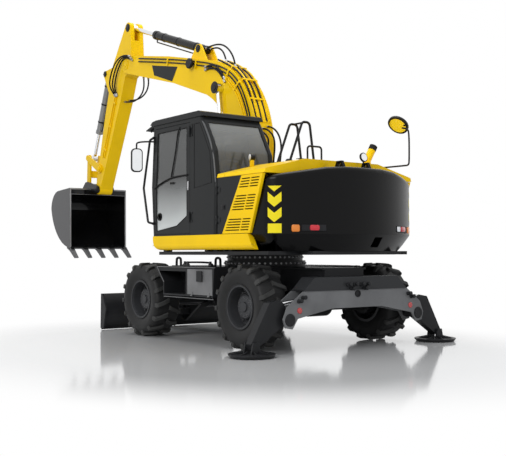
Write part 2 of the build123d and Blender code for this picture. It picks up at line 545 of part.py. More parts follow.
upper_frame.part.label = "upper_frame"
export_step(upper_frame.part, "parts/upper_frame.step")

# Side skirts: deep pressed sills with a rolled lower edge along both sides, and the
# short sill across the front of the cab.
SKIRT_T = 60
SKIRT_REAR = WEIGHT_FRONT + 335
SKIRT_IN = UPPER_HALF - 80
with BuildPart() as side_skirts:
    for s in (-1, 1):
        with BuildSketch(across(SKIRT_REAR - 140)) as pressing:
            with BuildLine():
                Line((s * SKIRT_IN, SKIRT_TOP), (s * SKIRT_IN, SKIRT_LOW))
                Line((s * SKIRT_IN, SKIRT_LOW), (s * (SKIRT_IN + 25), SKIRT_LOW))
                ThreePointArc((s * (SKIRT_IN + 25), SKIRT_LOW), (s * (UPPER_HALF - 14), SKIRT_LOW + 22), (s * UPPER_HALF, SKIRT_LOW + 75))
                Line((s * UPPER_HALF, SKIRT_LOW + 75), (s * UPPER_HALF, SKIRT_TOP))
                Line((s * UPPER_HALF, SKIRT_TOP), (s * SKIRT_IN, SKIRT_TOP))
            make_face()
        extrude(pressing.sketch, amount=960 - SKIRT_REAR + 140)
    block((925, 960), (CAB_INNER_Y, SKIRT_IN + 1), (SKIRT_LOW, SKIRT_TOP))
    with BuildSketch(side(UPPER_HALF + 1)) as front_corner:
        with BuildLine():
            Line((700, SKIRT_LOW - 10), (700, SKIRT_LOW))
            Line((700, SKIRT_LOW), (800, SKIRT_LOW))
            ThreePointArc((800, SKIRT_LOW), (914, SKIRT_LOW + 48), (960, SKIRT_TOP - 40))
            Line((960, SKIRT_TOP - 40), (1000, SKIRT_TOP - 40))
            Line((1000, SKIRT_TOP - 40), (1000, SKIRT_LOW - 10))
            Line((1000, SKIRT_LOW - 10), (700, SKIRT_LOW - 10))
        make_face()
    extrude(front_corner.sketch, amount=2 * UPPER_HALF + 2, mode=Mode.SUBTRACT)
    plate(side(UPPER_HALF + 1), [(SKIRT_REAR, SKIRT_TOP + 1), (SKIRT_REAR - 122, SKIRT_LOW - 10), (SKIRT_REAR - 160, SKIRT_LOW - 10),
                                 (SKIRT_REAR - 160, SKIRT_TOP + 1)], 2 * UPPER_HALF + 2, Mode.SUBTRACT)
side_skirts.part.label = "side_skirts"
export_step(side_skirts.part, "parts/side_skirts.step")

# Counterweight: one casting whose back follows the tail circle and whose sides wrap
# forward to the doors, drawn in below a crease and crowned on top. It has two lifting
# eyes, pockets for the lamps and a slot for the tow pin.
CREASE_Z = 1420
WEIGHT_LOW = BASE_TOP
EYE_Y = 220
EYE_X = WEIGHT_FRONT - 185
WEIGHT_HALF = UPPER_HALF - 20
LAMP_BACK = 232 - TAIL_R
EYE_Z = 2290
EYE_R = 24


def weight_outline(plane):
    """The counterweight's outline in plan, with its rear corners rounded."""
    with BuildSketch(plane) as outline:
        with BuildLine():
            Line((WEIGHT_FRONT + 345, -WEIGHT_HALF), (WEIGHT_FRONT - 15, 45 - WEIGHT_HALF))
            ThreePointArc((WEIGHT_FRONT - 15, 45 - WEIGHT_HALF), (-TAIL_R, 0), (WEIGHT_FRONT - 15, WEIGHT_HALF - 45))
            Line((WEIGHT_FRONT - 15, WEIGHT_HALF - 45), (WEIGHT_FRONT + 345, WEIGHT_HALF))
            Line((WEIGHT_FRONT + 345, WEIGHT_HALF), (WEIGHT_FRONT + 345, -WEIGHT_HALF))
        make_face()
        fillet(outline.vertices().sort_by(Axis.X)[:2], 230)
    return outline.sketch


with BuildPart() as counterweight:
    extrude(weight_outline(plan(CREASE_Z)), amount=WEIGHT_TOP - CREASE_Z)
    upside_down = Plane(origin=at(0, 0, CREASE_Z), x_dir=(1, 0, 0), z_dir=(0, 0, -1))
    extrude(weight_outline(upside_down), amount=CREASE_Z - WEIGHT_LOW, taper=36)
    plate(across(-TAIL_R - 10), [(-UPPER_HALF, 2110), (-560, 2225), (-300, WEIGHT_TOP), (300, WEIGHT_TOP), (560, 2225),
                                 (UPPER_HALF, 2110), (UPPER_HALF, 2400), (-UPPER_HALF, 2400)], TAIL_R, Mode.SUBTRACT)
    rim_edges = [edge for edge in counterweight.edges()
                 if edge.center().Z > 2050 and edge.center().X < SLEW_X + WEIGHT_FRONT + 340 and edge.length > 30]
    fillet([edge for edge in rim_edges
            if abs(edge.tangent_at(0.5).X) <= 0.98 or abs(edge.center().Y) >= 1000], 60)
    block((WEIGHT_FRONT, WEIGHT_FRONT + 425), (120 - WEIGHT_HALF, WEIGHT_HALF - 120), (WEIGHT_LOW - 1, WEIGHT_TOP + 1), Mode.SUBTRACT)
    plate(side(WEIGHT_HALF + 60), [(WEIGHT_FRONT + 205, WEIGHT_LOW - 1), (WEIGHT_FRONT + 295, 1428), (WEIGHT_FRONT + 280, 1428),
                                   (WEIGHT_FRONT + 21, 2146), (WEIGHT_FRONT + 65, 2300), (WEIGHT_FRONT + 425, 2300),
                                   (WEIGHT_FRONT + 425, WEIGHT_LOW - 1)], 2 * WEIGHT_HALF + 120, Mode.SUBTRACT)
    for s in (-1, 1):
        block((-TAIL_R - 30, LAMP_BACK), sorted((s * 597, s * 883)), (1453, 1532), Mode.SUBTRACT)
        plate(side(s * EYE_Y + 20), [(EYE_X - 90, WEIGHT_TOP - 15), (EYE_X - 45, EYE_Z + 40), (EYE_X + 45, EYE_Z + 40),
                                     (EYE_X + 90, WEIGHT_TOP - 15)], 40)
        cross_pin((EYE_X, EYE_Z), s * EYE_Y - 21, s * EYE_Y + 21, EYE_R, Mode.SUBTRACT)
    block((-TAIL_R - 30, 290 - TAIL_R), (-300, -150), (1262, 1385), Mode.SUBTRACT)
counterweight.part.label = "counterweight"
export_step(counterweight.part, "parts/counterweight.step")

# Bay cover: the fixed crowned strip between the cab, the tank and the hood.
HOOD_HINGE = (HOOD_FRONT + 2.5, HOOD_TOP + 12.3)
HOOD_PROFILE = [(-UPPER_HALF + 10, HOOD_EDGE), (-UPPER_HALF + 25, 2200), (-620, HOOD_TOP), (620, HOOD_TOP),
                (UPPER_HALF - 25, 2200), (UPPER_HALF - 10, HOOD_EDGE)]
with BuildPart() as bay_cover:
    plate(across(HOOD_FRONT + 5), HOOD_PROFILE, -HOOD_FRONT - 5 - 625)
    for y in (-460, 400):
        cross_pin(HOOD_HINGE, y - 25, y + 85, 6)
        for low_y in (y - 25, y + 60 + FACE_GAP):
            cross_pin(HOOD_HINGE, low_y, low_y + 25 - FACE_GAP, 12)
            block((HOOD_FRONT + 5, HOOD_FRONT + 40), (low_y, low_y + 25 - FACE_GAP), (HOOD_TOP, HOOD_TOP + 9))
bay_cover.part.label = "bay_cover"
export_step(bay_cover.part, "parts/bay_cover.step")

# Engine hood: crowned cover between the cab and the counterweight, hinged in front.
HOOD_T = 22
with BuildPart() as engine_hood:
    with BuildSketch(across(HOOD_FRONT)):
        with BuildLine():
            Polyline((-UPPER_HALF + 10, HOOD_EDGE), (-UPPER_HALF + 25, 2200), (-620, HOOD_TOP), (620, HOOD_TOP),
                     (UPPER_HALF - 25, 2200), (UPPER_HALF - 10, HOOD_EDGE), (UPPER_HALF - 32, HOOD_EDGE),
                     (UPPER_HALF - 45, 2182), (610, HOOD_TOP - HOOD_T), (-610, HOOD_TOP - HOOD_T),
                     (-UPPER_HALF + 45, 2182), (-UPPER_HALF + 32, HOOD_EDGE), close=True)
        make_face()
    extrude(amount=WEIGHT_FRONT - HOOD_FRONT + 5)
    plate(across(WEIGHT_FRONT + 5), HOOD_PROFILE, 20)
    for y in (-460, 400):
        cross_pin(HOOD_HINGE, y + FACE_GAP, y + 60, 12)
        block((HOOD_FRONT - 40, HOOD_FRONT), (y + FACE_GAP, y + 60), (HOOD_TOP, HOOD_TOP + 9))
        cross_pin(HOOD_HINGE, y - 1, y + 61, 6 + BORE_GAP, Mode.SUBTRACT)
engine_hood.part.label = "engine_hood"
export_step(engine_hood.part, "parts/engine_hood.step")

# Engine with its cooling pack, one plain mass at its real place on the frame.
with BuildPart() as engine_block:
    block((-1560, -900), (-480, 520), (BASE_TOP, 1950))
engine_block.part.label = "engine_block"
export_step(engine_block.part, "parts/engine_block.step")

# Service doors behind the cab: a dark panel ahead of a slanted louvre field whose rear
# edge follows the counterweight. They are hinged at the front edge.
DOOR_T = 40
DOOR_LOW = SKIRT_TOP + 6
DOOR_HIGH = HOOD_EDGE - 6
DOOR_OUTLINE = [(DOOR_FRONT, DOOR_LOW), (DOOR_FRONT, DOOR_HIGH), (WEIGHT_FRONT + 28, DOOR_HIGH),
                (WEIGHT_FRONT + 287, DOOR_LOW)]
LOUVRE_ROWS = (1470, 1503, 1536, 1569, 1602, 1722, 1755, 1788, 1821, 1854, 1887, 1995, 2028, 2061, 2094)
LOUVRE_TALL = 14
for label, s in (("left", 1), ("right", -1)):
    with BuildPart() as service_door:
        plate(side(s * UPPER_HALF), DOOR_OUTLINE, s * DOOR_T)
        for z in LOUVRE_ROWS:
            share = (z - DOOR_LOW) / (DOOR_HIGH - DOOR_LOW)
            rear = WEIGHT_FRONT + 332 - share * 259
            front = -800 - share * 400
            middle = max(rear + 150, (rear + front) / 2)
            for low_x, high_x in ((rear, min(rear + 165, front - 170)), (min(rear + 165, front - 170) + 22, front)):
                block((low_x, high_x), sorted((s * (UPPER_HALF - DOOR_T - 1), s * (UPPER_HALF + 1))),
                      (z, z + LOUVRE_TALL), Mode.SUBTRACT)
        for z in BAY_HINGE_Z:
            bar(at(BAY_HINGE_X, s * BAY_HINGE_Y, z + FACE_GAP), at(BAY_HINGE_X, s * BAY_HINGE_Y, z + 60), 10)
            block((DOOR_FRONT - 60, DOOR_FRONT + 4), sorted((s * UPPER_HALF, s * (UPPER_HALF + 6))), (z + FACE_GAP, z + 60))
            bar(at(BAY_HINGE_X, s * BAY_HINGE_Y, z - 1), at(BAY_HINGE_X, s * BAY_HINGE_Y, z + 61), 5 + BORE_GAP, Mode.SUBTRACT)
    service_door.part.label = f"service_door_{label}"
    export_step(service_door.part, f"parts/service_door_{label}.step")

# Right-hand housings: the tank beside the boom and the stepped box ahead of it.
TANK_REAR = -620
TANK_FRONT = 180
TANK_TOP = 2140
STEP_TOP = 1790
with BuildPart() as right_housings:
    block((TANK_REAR, TANK_FRONT), (-UPPER_HALF, -300), (SKIRT_TOP, TANK_TOP))
    chamfer(right_housings.edges().group_by(Axis.Z)[-1], 30)
    block((TANK_REAR, TANK_FRONT), (-1180, -300), (BASE_TOP, SKIRT_TOP))
    plate(side(-UPPER_HALF), [(TANK_FRONT, SKIRT_TOP), (940, SKIRT_TOP), (940, 1570), (610, 1570), (600, STEP_TOP),
                              (TANK_FRONT, STEP_TOP)], -(UPPER_HALF - 320))
    block((TANK_FRONT, 920), (-1180, -320), (BASE_TOP, SKIRT_TOP))
right_housings.part.label = "right_housings"
export_step(right_housings.part, "parts/right_housings.step")

# Cab: a hollow shell with its window openings cut and the door's opening left out.
CAB_SIDE = [(-600, SKIRT_TOP), (935, SKIRT_TOP), (985, 2120), (925, 2985), (-285, 2985), (-560, 2510), (-620, 2050)]
CAB_INNER = [(-550, SKIRT_TOP + 50), (890, SKIRT_TOP + 50), (935, 2120), (880, 2940), (-260, 2940), (-512, 2500),
             (-568, 2050)]
DOOR_HINGE_X = -10
DOOR_HINGE_Y = UPPER_HALF + 13
DOOR_HINGE_Z = (1630, 2770)
DOOR_OPENING = [(DOOR_HINGE_X, SKIRT_TOP + 20), (890, SKIRT_TOP + 20), (931, 2120), (882, 2935), (DOOR_HINGE_X, 2935)]
with BuildPart() as cab_frame:
    plate(side(UPPER_HALF), CAB_SIDE, UPPER_HALF - CAB_INNER_Y)
    fillet([edge for edge in cab_frame.edges() if edge.center().X < SLEW_X - 400 and abs(edge.tangent_at(0.5).Y) < 0.1
            and SKIRT_TOP + 10 < edge.center().Z < 2900], 42)
    plate(side(UPPER_HALF - CAB_WALL), CAB_INNER, UPPER_HALF - CAB_INNER_Y - 2 * CAB_WALL, Mode.SUBTRACT)
    plate(side(UPPER_HALF + 1), DOOR_OPENING, CAB_WALL + 2, Mode.SUBTRACT)
    plate(side(UPPER_HALF + 1), [(-110, 2050), (-110, 2900), (-245, 2900), (-478, 2500), (-520, 2100)], CAB_WALL + 2,
          Mode.SUBTRACT)
    plate(side(CAB_INNER_Y + CAB_WALL + 1), [(820, 1600), (860, 2120), (815, 2880), (60, 2880), (60, 1750)], CAB_WALL + 2,
          Mode.SUBTRACT)
    plate(side(CAB_INNER_Y + CAB_WALL + 1), [(-40, 2050), (-40, 2880), (-235, 2880), (-470, 2490), (-520, 2080)],
          CAB_WALL + 2, Mode.SUBTRACT)
    plate(across(860), [(CAB_INNER_Y + 70, 1560), (UPPER_HALF - 70, 1560), (UPPER_HALF - 70, 2900),
                        (CAB_INNER_Y + 70, 2900)], 200, Mode.SUBTRACT)
    plate(across(-700), [(CAB_INNER_Y + 75, 2090), (UPPER_HALF - 75, 2090), (UPPER_HALF - 75, 2900),
                         (CAB_INNER_Y + 75, 2900)], 480, Mode.SUBTRACT)
    for z in DOOR_HINGE_Z:
        bar(at(DOOR_HINGE_X, DOOR_HINGE_Y, z - 30), at(DOOR_HINGE_X, DOOR_HINGE_Y, z + 110), 6)
        for low in (z - 30, z + 80 + FACE_GAP):
            bar(at(DOOR_HINGE_X, DOOR_HINGE_Y, low), at(DOOR_HINGE_X, DOOR_HINGE_Y, low + 30 - FACE_GAP), 13)
            block((DOOR_HINGE_X - 60, DOOR_HINGE_X + 2), (UPPER_HALF, UPPER_HALF + 6), (low, low + 30 - FACE_GAP))
cab_frame.part.label = "cab_frame"
export_step(cab_frame.part, "parts/cab_frame.step")

# Cab roof: a moulded cap with the sun visor in front.
with BuildPart() as cab_roof:
    plate(side(UPPER_HALF + 15), [(-330, 2985), (935, 2985), (1010, 3005), (960, CAB_ROOF_Z - 15), (860, CAB_ROOF_Z),
                                  (-240, CAB_ROOF_Z), (-300, CAB_ROOF_Z - 20)], UPPER_HALF - CAB_INNER_Y + 20)
    for y in (360, 1170):
        plate(side(y + 6), [(960, 3010), (1170, 2950), (1160, 2930), (955, 2992)], 12)
    plate(side(UPPER_HALF - 20), [(995, 3012), (1190, 2956), (1186, 2944), (990, 3000)], UPPER_HALF - CAB_INNER_Y - 60)
cab_roof.part.label = "cab_roof"
export_step(cab_roof.part, "parts/cab_roof.step")

# Cab glazing: windscreen, rear window, right panes and the left quarter pane.
GLASS = 8
with BuildPart() as cab_glass:
    plate(side(UPPER_HALF - 12), [(-110, 2050), (-110, 2900), (-245, 2900), (-478, 2500), (-520, 2100)], GLASS)
    plate(side(CAB_INNER_Y + 12 + GLASS), [(820, 1600), (860, 2120), (815, 2880), (60, 2880), (60, 1750)], GLASS)
    plate(side(CAB_INNER_Y + 12 + GLASS), [(-40, 2050), (-40, 2880), (-235, 2880), (-470, 2490), (-520, 2080)], GLASS)
    plate(side(UPPER_HALF - 70), [(928, 1562), (968, 2120), (914, 2898), (906, 2898), (960, 2120), (920, 1562)],
          UPPER_HALF - CAB_INNER_Y - 140)
    plate(side(UPPER_HALF - 75), [(-600, 2092), (-542, 2512), (-322, 2898), (-314, 2898), (-534, 2510), (-592, 2092)],
          UPPER_HALF - CAB_INNER_Y - 150)
cab_glass.part.label = "cab_glass"
export_step(cab_glass.part, "parts/cab_glass.step")

# Cab door: a full-height frame with its glass, hinged at its rear edge.
DOOR_PANE = [(70, 1690), (330, 1560), (850, 1500), (868, 2120), (822, 2870), (70, 2870)]
with BuildPart() as cab_door:
    plate(side(UPPER_HALF), [(DOOR_HINGE_X + 5, SKIRT_TOP + 26), (885, SKIRT_TOP + 26), (926, 2120), (878, 2929),
                             (DOOR_HINGE_X + 5, 2929)], CAB_WALL)
    plate(side(UPPER_HALF + 1), DOOR_PANE, CAB_WALL + 2, Mode.SUBTRACT)
    for z in DOOR_HINGE_Z:
        bar(at(DOOR_HINGE_X, DOOR_HINGE_Y, z + FACE_GAP), at(DOOR_HINGE_X, DOOR_HINGE_Y, z + 80), 13)
        block((DOOR_HINGE_X + 6, DOOR_HINGE_X + 75), (UPPER_HALF, UPPER_HALF + 6), (z + FACE_GAP, z + 80))
        bar(at(DOOR_HINGE_X, DOOR_HINGE_Y, z - 1), at(DOOR_HINGE_X, DOOR_HINGE_Y, z + 81), 6 + BORE_GAP, Mode.SUBTRACT)
cab_door.part.label = "cab_door"
export_step(cab_door.part, "parts/cab_door.step")

with BuildPart() as door_glass:
    plate(side(UPPER_HALF - 12), DOOR_PANE, GLASS)
door_glass.part.label = "door_glass"
export_step(door_glass.part, "parts/door_glass.step")

# Operator's seat on its base, and the consoles with their levers and the column.
SEAT_Y = (UPPER_HALF + CAB_INNER_Y) / 2
with BuildPart() as seat:
    block((-180, 260), (SEAT_Y - 200, SEAT_Y + 200), (SKIRT_TOP + 50, 1750))
    block((-220, 300), (SEAT_Y - 250, SEAT_Y + 250), (1750, 1880))
    plate(side(SEAT_Y + 240), [(-240, 1800), (-360, 2420), (-270, 2450), (-110, 1880)], 480)
    plate(side(SEAT_Y + 140), [(-350, 2420), (-390, 2620), (-310, 2640), (-270, 2450)], 280)
seat.part.label = "seat"
export_step(seat.part, "parts/seat.step")

with BuildPart() as controls:
    for y in (SEAT_Y - 390, SEAT_Y + 280):
        block((-120, 330), (y, y + 110), (1650, 1960))
        bar(at(270, y + 55, 1950), at(290, y + 55, 2110), 22)
        block((-100, 0), (y + 10, y + 100), (SKIRT_TOP + 50, 1660))
    bar(at(720, SEAT_Y, SKIRT_TOP + 80), at(560, SEAT_Y, 2060), 40)
    bar(at(560, SEAT_Y, 2040), at(550, SEAT_Y, 2080), 190)
    block((650, 800), (SEAT_Y - 150, SEAT_Y + 150), (SKIRT_TOP + 50, SKIRT_TOP + 130))
controls.part.label = "controls"
export_step(controls.part, "parts/controls.step")

# Rails on the hood: two splayed hoops on small feet, tied at the top.
RAIL_R = 16
with BuildPart() as hood_rails:
    for x in (-1250, -1000):
        for y in (560, 160):
            block((x - 30, x + 30), (y - 30, y + 30), (HOOD_TOP, HOOD_TOP + 10))
        tube([(x, 560, HOOD_TOP + 8), (x, 355, HOOD_TOP + 520), (x, 235, HOOD_TOP + 520), (x, 160, HOOD_TOP + 8)],
             RAIL_R, 55)
    tube([(-1250, 295, HOOD_TOP + 520), (-1000, 295, HOOD_TOP + 520)], RAIL_R - 4, 0)
    tube([(-1480, 465, HOOD_TOP), (-1480, 465, HOOD_TOP + 180), (-1480, 234, HOOD_TOP + 180), (-1480, 234, HOOD_TOP)],
         RAIL_R - 4, 40)
hood_rails.part.label = "hood_rails"
export_step(hood_rails.part, "parts/hood_rails.step")

# Exhaust: a tail pipe that stands on the hood's shoulder, bent outward at its end.
with BuildPart() as exhaust:
    bar(at(-1200, -830, 2200), at(-1200, -830, 2480), 55)
    bar(at(-1200, -830, 2440), at(-1200, -960, 2650), 52)
    plate(across(-1300), [(-600, HOOD_TOP + 150 * 20 / (UPPER_HALF - 645)), (-UPPER_HALF + 25, 2200), (-UPPER_HALF + 25, 1900),
                          (-600, 1900)], 200, Mode.SUBTRACT)
exhaust.part.label = "exhaust"
export_step(exhaust.part, "parts/exhaust.step")

# Handrails on the cab's front pillar and on the stepped housing.
with BuildPart() as handrails:
    block((900, 934), (UPPER_HALF, UPPER_HALF + 18), (2800, 2840))
    block((908, 942), (UPPER_HALF, UPPER_HALF + 18), (1590, 1630))
    tube([(917, UPPER_HALF + 16, 2820), (960, UPPER_HALF + 48, 2790), (1135, UPPER_HALF + 48, 2120),
          (1010, UPPER_HALF + 48, 1630), (925, UPPER_HALF + 16, 1610)], RAIL_R, 40)
    tube([(240, -1180, STEP_TOP), (240, -1180, STEP_TOP + 750), (560, -1180, STEP_TOP + 750), (560, -1180, STEP_TOP)],
         RAIL_R, 60)
    tube([(550, -1180, STEP_TOP + 380), (860, -1180, STEP_TOP + 380), (860, -1180, 1570)], RAIL_R - 2, 60)
handrails.part.label = "handrails"
export_step(handrails.part, "parts/handrails.step")

# Mirrors on their arms: at the cab's front pillar, at the stepped housing and at the
# right rear corner.
with BuildPart() as mirrors:
    block((892, 924), (UPPER_HALF, UPPER_HALF + 12), (2865, 2905))
    tube([(908, UPPER_HALF + 11, 2885), (1187, 1400, 2860), (1187, 1400, 2600)], 12, 30)
    block((1160, 1215), (1315, 1485), (2350, 2690))
    tube([(905, -1225, 1570), (905, -1225, 2300), (1078, -1330, 2600)], 12, 60)
    block((1050, 1105), (-1420, -1240), (2380, 2700))
    tube([(-700, -1150, 2150), (-700, -1150, 2320), (-760, -1300, 2400), (-1490, -1300, 2385), (-1540, -1300, 2910)],
         12, 40)
    with BuildSketch(Plane(origin=at(-1530, -1300, 2930), x_dir=(0, 1, 0), z_dir=(-1, 0, 0.35))):
        Circle(150)
    extrude(amount=-45)
    plate(across(-730), HOOD_PROFILE, 60, Mode.SUBTRACT)
    tube([(WEIGHT_FRONT - 75, -285, WEIGHT_TOP), (WEIGHT_FRONT - 75, -285, WEIGHT_TOP + 130)], 10, 0)
    with BuildSketch(Plane(origin=at(WEIGHT_FRONT - 87, -285, WEIGHT_TOP + 175), x_dir=(0, 1, 0), z_dir=(-1, 0, 0.2))):
        Circle(62)
    extrude(amount=-22)
mirrors.part.label = "mirrors"
export_step(mirrors.part, "parts/mirrors.step")

# Tail lamps let into pockets of the counterweight.
with BuildPart() as lamps:
    for s in (-1, 1):
        plate(plan(1455), [(LAMP_BACK, s * 599), (LAMP_BACK - 139, s * 599), (LAMP_BACK - 93, s * 740), (LAMP_BACK - 33, s * 881),
                           (LAMP_BACK, s * 881)], 75)
lamps.part.label = "lamps"
export_step(lamps.part, "parts/lamps.step")

# Boom: a banana-shaped box with its foot boss, cylinder bosses, the bracket of
# the arm cylinder on its back and a forked end for the arm.
TIP_R = 150
ARM_RAM_EYE_HALF = 84
FORK_IN = ARM_HALF + SIDE_GAP
with BuildPart() as boom:
    with BuildSketch(side(BOOM_HALF)) as web:
        with BuildLine():
            Line((BOOM_FOOT[0] - FOOT_BOSS_R, BOOM_FOOT[1]), (-18, 2700))
            ThreePointArc((-18, 2700), (278, 3569), (1068, 4094))
            Line((1068, 4094), (2340, 4385))
            Line((2340, 4385), (ARM_PIN[0] - 30, ARM_PIN[1] + TIP_R))
            Line((ARM_PIN[0] - 30, ARM_PIN[1] + TIP_R), (ARM_PIN[0] + 30, ARM_PIN[1] - TIP_R))
            Line((ARM_PIN[0] + 30, ARM_PIN[1] - TIP_R), (2200, 3927))
            Line((2200, 3927), (1244, 3600))
            ThreePointArc((1244, 3600), (770, 3210), (545, 2700))
            Line((545, 2700), (BOOM_FOOT[0] + FOOT_BOSS_R, BOOM_FOOT[1]))
            Line((BOOM_FOOT[0] + FOOT_BOSS_R, BOOM_FOOT[1]), (BOOM_FOOT[0] - FOOT_BOSS_R, BOOM_FOOT[1]))
        make_face()
        with Locations(BOOM_FOOT):
            Circle(FOOT_BOSS_R)
        with Locations(ARM_PIN):
            Circle(TIP_R)
    extrude(amount=2 * BOOM_HALF)
    cross_pin(BOOM_FOOT, -BOOM_HALF - 1, BOOM_HALF + 1, 45 + BORE_GAP, Mode.SUBTRACT)
    block((ARM_PIN[0] - 365, ARM_PIN[0] + TIP_R + 10), (-FORK_IN, FORK_IN), (ARM_PIN[1] - 400, ARM_PIN[1] + 400),
          Mode.SUBTRACT)
    cross_pin(ARM_PIN, -BOOM_HALF, BOOM_HALF, 45)
    for y in (ARM_RAM_EYE_HALF + FACE_GAP + 30, -ARM_RAM_EYE_HALF - FACE_GAP):
        plate(side(y), [(1290, 4120), (1460, 4400), (1500, 4435), (1580, 4435), (1620, 4400), (1760, 4230), (1600, 4100)],
              30)
    cross_pin(ARM_RAM_BASE, -ARM_RAM_EYE_HALF - 30, ARM_RAM_EYE_HALF + 30, 35)
boom.part.label = "boom"
export_step(boom.part, "parts/boom.step")

# Boom cylinders, one on each side of the boom.
with BuildPart() as boom_barrels:
    for y in (-RAM_Y, RAM_Y):
        ram_barrel(BOOM_RAM_BASE, BOOM_RAM_EYE, y, 1420, 46, 32, 58, 2 * RAM_EYE_HALF)
        cross_pin(BOOM_RAM_BASE, y - RAM_EYE_HALF - 1, y + RAM_EYE_HALF + 1, 35 + BORE_GAP, Mode.SUBTRACT)
boom_barrels.part.label = "boom_barrels"
export_step(boom_barrels.part, "parts/boom_barrels.step")

with BuildPart() as boom_rods:
    for y in (-RAM_Y, RAM_Y):
        ram_rod(BOOM_RAM_BASE, BOOM_RAM_EYE, y, 1000, 32, 75, 2 * (RAM_Y - BOOM_HALF - FACE_GAP))
boom_rods.part.label = "boom_rods"
export_step(boom_rods.part, "parts/boom_rods.step")

# Arm: a tapered box with the arm cylinder's lever above its pivot, the ears of the
# bucket cylinder in front and the bucket's pin at its tip.
ARM_BOSS_R = 150
ARM_TIP_R = 90
BUCKET_RAM_EYE_HALF = 76
with BuildPart() as arm:
    with BuildSketch(side(ARM_HALF)):
        with BuildLine():
            Polyline((ARM_RAM_EYE[0] - 80, ARM_RAM_EYE[1]), (ARM_PIN[0] - ARM_BOSS_R, ARM_PIN[1]), (3690, 4380), (3870, 4300), (4040, 3886),
                     (BUCKET_PIN[0] - ARM_TIP_R, BUCKET_PIN[1]), (BUCKET_PIN[0] + ARM_TIP_R, BUCKET_PIN[1] + 30),
                     (4640, 3630), (4320, 4580), (ARM_RAM_EYE[0] + 90, ARM_RAM_EYE[1] + 60), close=True)
        make_face()
        with Locations(ARM_PIN):
            Circle(ARM_BOSS_R)
        with Locations((ARM_RAM_EYE[0] + 10, ARM_RAM_EYE[1])):
            Circle(95)
        with Locations(BUCKET_PIN):
            Circle(ARM_TIP_R)
    extrude(amount=2 * ARM_HALF)
    cross_pin(ARM_PIN, -ARM_HALF - 1, ARM_HALF + 1, 45 + BORE_GAP, Mode.SUBTRACT)
    block((ARM_RAM_EYE[0] - 200, ARM_RAM_EYE[0] + 125), (-48, 48), (ARM_RAM_EYE[1] - 230, ARM_RAM_EYE[1] + 200),
          Mode.SUBTRACT)
    for y in (BUCKET_RAM_EYE_HALF + FACE_GAP + 28, -BUCKET_RAM_EYE_HALF - FACE_GAP):
        plate(side(y), [(4250, 4560), (BUCKET_RAM_BASE[0] - 40, 4535), (BUCKET_RAM_BASE[0] + 40, 4530),
                        (BUCKET_RAM_BASE[0] + 70, 4480), (BUCKET_RAM_BASE[0] + 40, 4420), (4500, 4080), (4350, 4200)], 28)
    cross_pin(BUCKET_RAM_BASE, -BUCKET_RAM_EYE_HALF - 28, BUCKET_RAM_EYE_HALF + 28, 32)
    cross_pin(ROCKER_PIN, -ARM_HALF - 40, ARM_HALF + 40, 32)
    cross_pin(BUCKET_PIN, -ARM_HALF - 35, ARM_HALF + 35, 38)
arm.part.label = "arm"
export_step(arm.part, "parts/arm.step")

# Arm cylinder on the boom's back, its eye in the lever's fork.
with BuildPart() as arm_barrel:
    ram_barrel(ARM_RAM_BASE, ARM_RAM_EYE, 0, 1560, 68, 38, 64, 2 * ARM_RAM_EYE_HALF)
    cross_pin(ARM_RAM_BASE, -ARM_RAM_EYE_HALF - 1, ARM_RAM_EYE_HALF + 1, 35 + BORE_GAP, Mode.SUBTRACT)
arm_barrel.part.label = "arm_barrel"
export_step(arm_barrel.part, "parts/arm_barrel.step")

with BuildPart() as arm_rod:
    ram_rod(ARM_RAM_BASE, ARM_RAM_EYE, 0, 850, 38, 62, 94)
arm_rod.part.label = "arm_rod"
export_step(arm_rod.part, "parts/arm_rod.step")

# Bucket cylinder in front of the arm, its eye at the rocker's end.
with BuildPart() as bucket_barrel:
    ram_barrel(BUCKET_RAM_BASE, ROCKER_END, 0, 1130, 60, 32, 52, 2 * BUCKET_RAM_EYE_HALF)
    cross_pin(BUCKET_RAM_BASE, -BUCKET_RAM_EYE_HALF - 1, BUCKET_RAM_EYE_HALF + 1, 32 + BORE_GAP, Mode.SUBTRACT)
bucket_barrel.part.label = "bucket_barrel"
export_step(bucket_barrel.part, "parts/bucket_barrel.step")

with BuildPart() as bucket_rod:
    ram_rod(BUCKET_RAM_BASE, ROCKER_END, 0, 478, 32, 55, 80)
bucket_rod.part.label = "bucket_rod"
export_step(bucket_rod.part, "parts/bucket_rod.step")

# Rocker: two levers beside the arm, out to the link's upper end.
ROCKER_IN = ARM_HALF + SIDE_GAP
ROCKER_T = 25


def lever(start, end, low_y, high_y, start_r, end_r):
    """A flat lever with round ends between two pins."""
    run = hypot(end[0] - start[0], end[1] - start[1])
    nx, nz = -(end[1] - start[1]) / run, (end[0] - start[0]) / run
    plate(side(high_y), [(start[0] + nx * start_r, start[1] + nz * start_r), (end[0] + nx * end_r, end[1] + nz * end_r),
                         (end[0] - nx * end_r, end[1] - nz * end_r), (start[0] - nx * start_r, start[1] - nz * start_r)],
          high_y - low_y)
    cross_pin(start, low_y, high_y, start_r)
    cross_pin(end, low_y, high_y, end_r)


with BuildPart() as rocker:
    for low_y in (-ROCKER_IN - ROCKER_T, ROCKER_IN):
        lever(ROCKER_PIN, ROCKER_END, low_y, low_y + ROCKER_T, 70, 50)
    cross_pin(ROCKER_PIN, -ARM_HALF - 41, ARM_HALF + 41, 32 + BORE_GAP, Mode.SUBTRACT)
rocker.part.label = "rocker"
export_step(rocker.part, "parts/rocker.step")

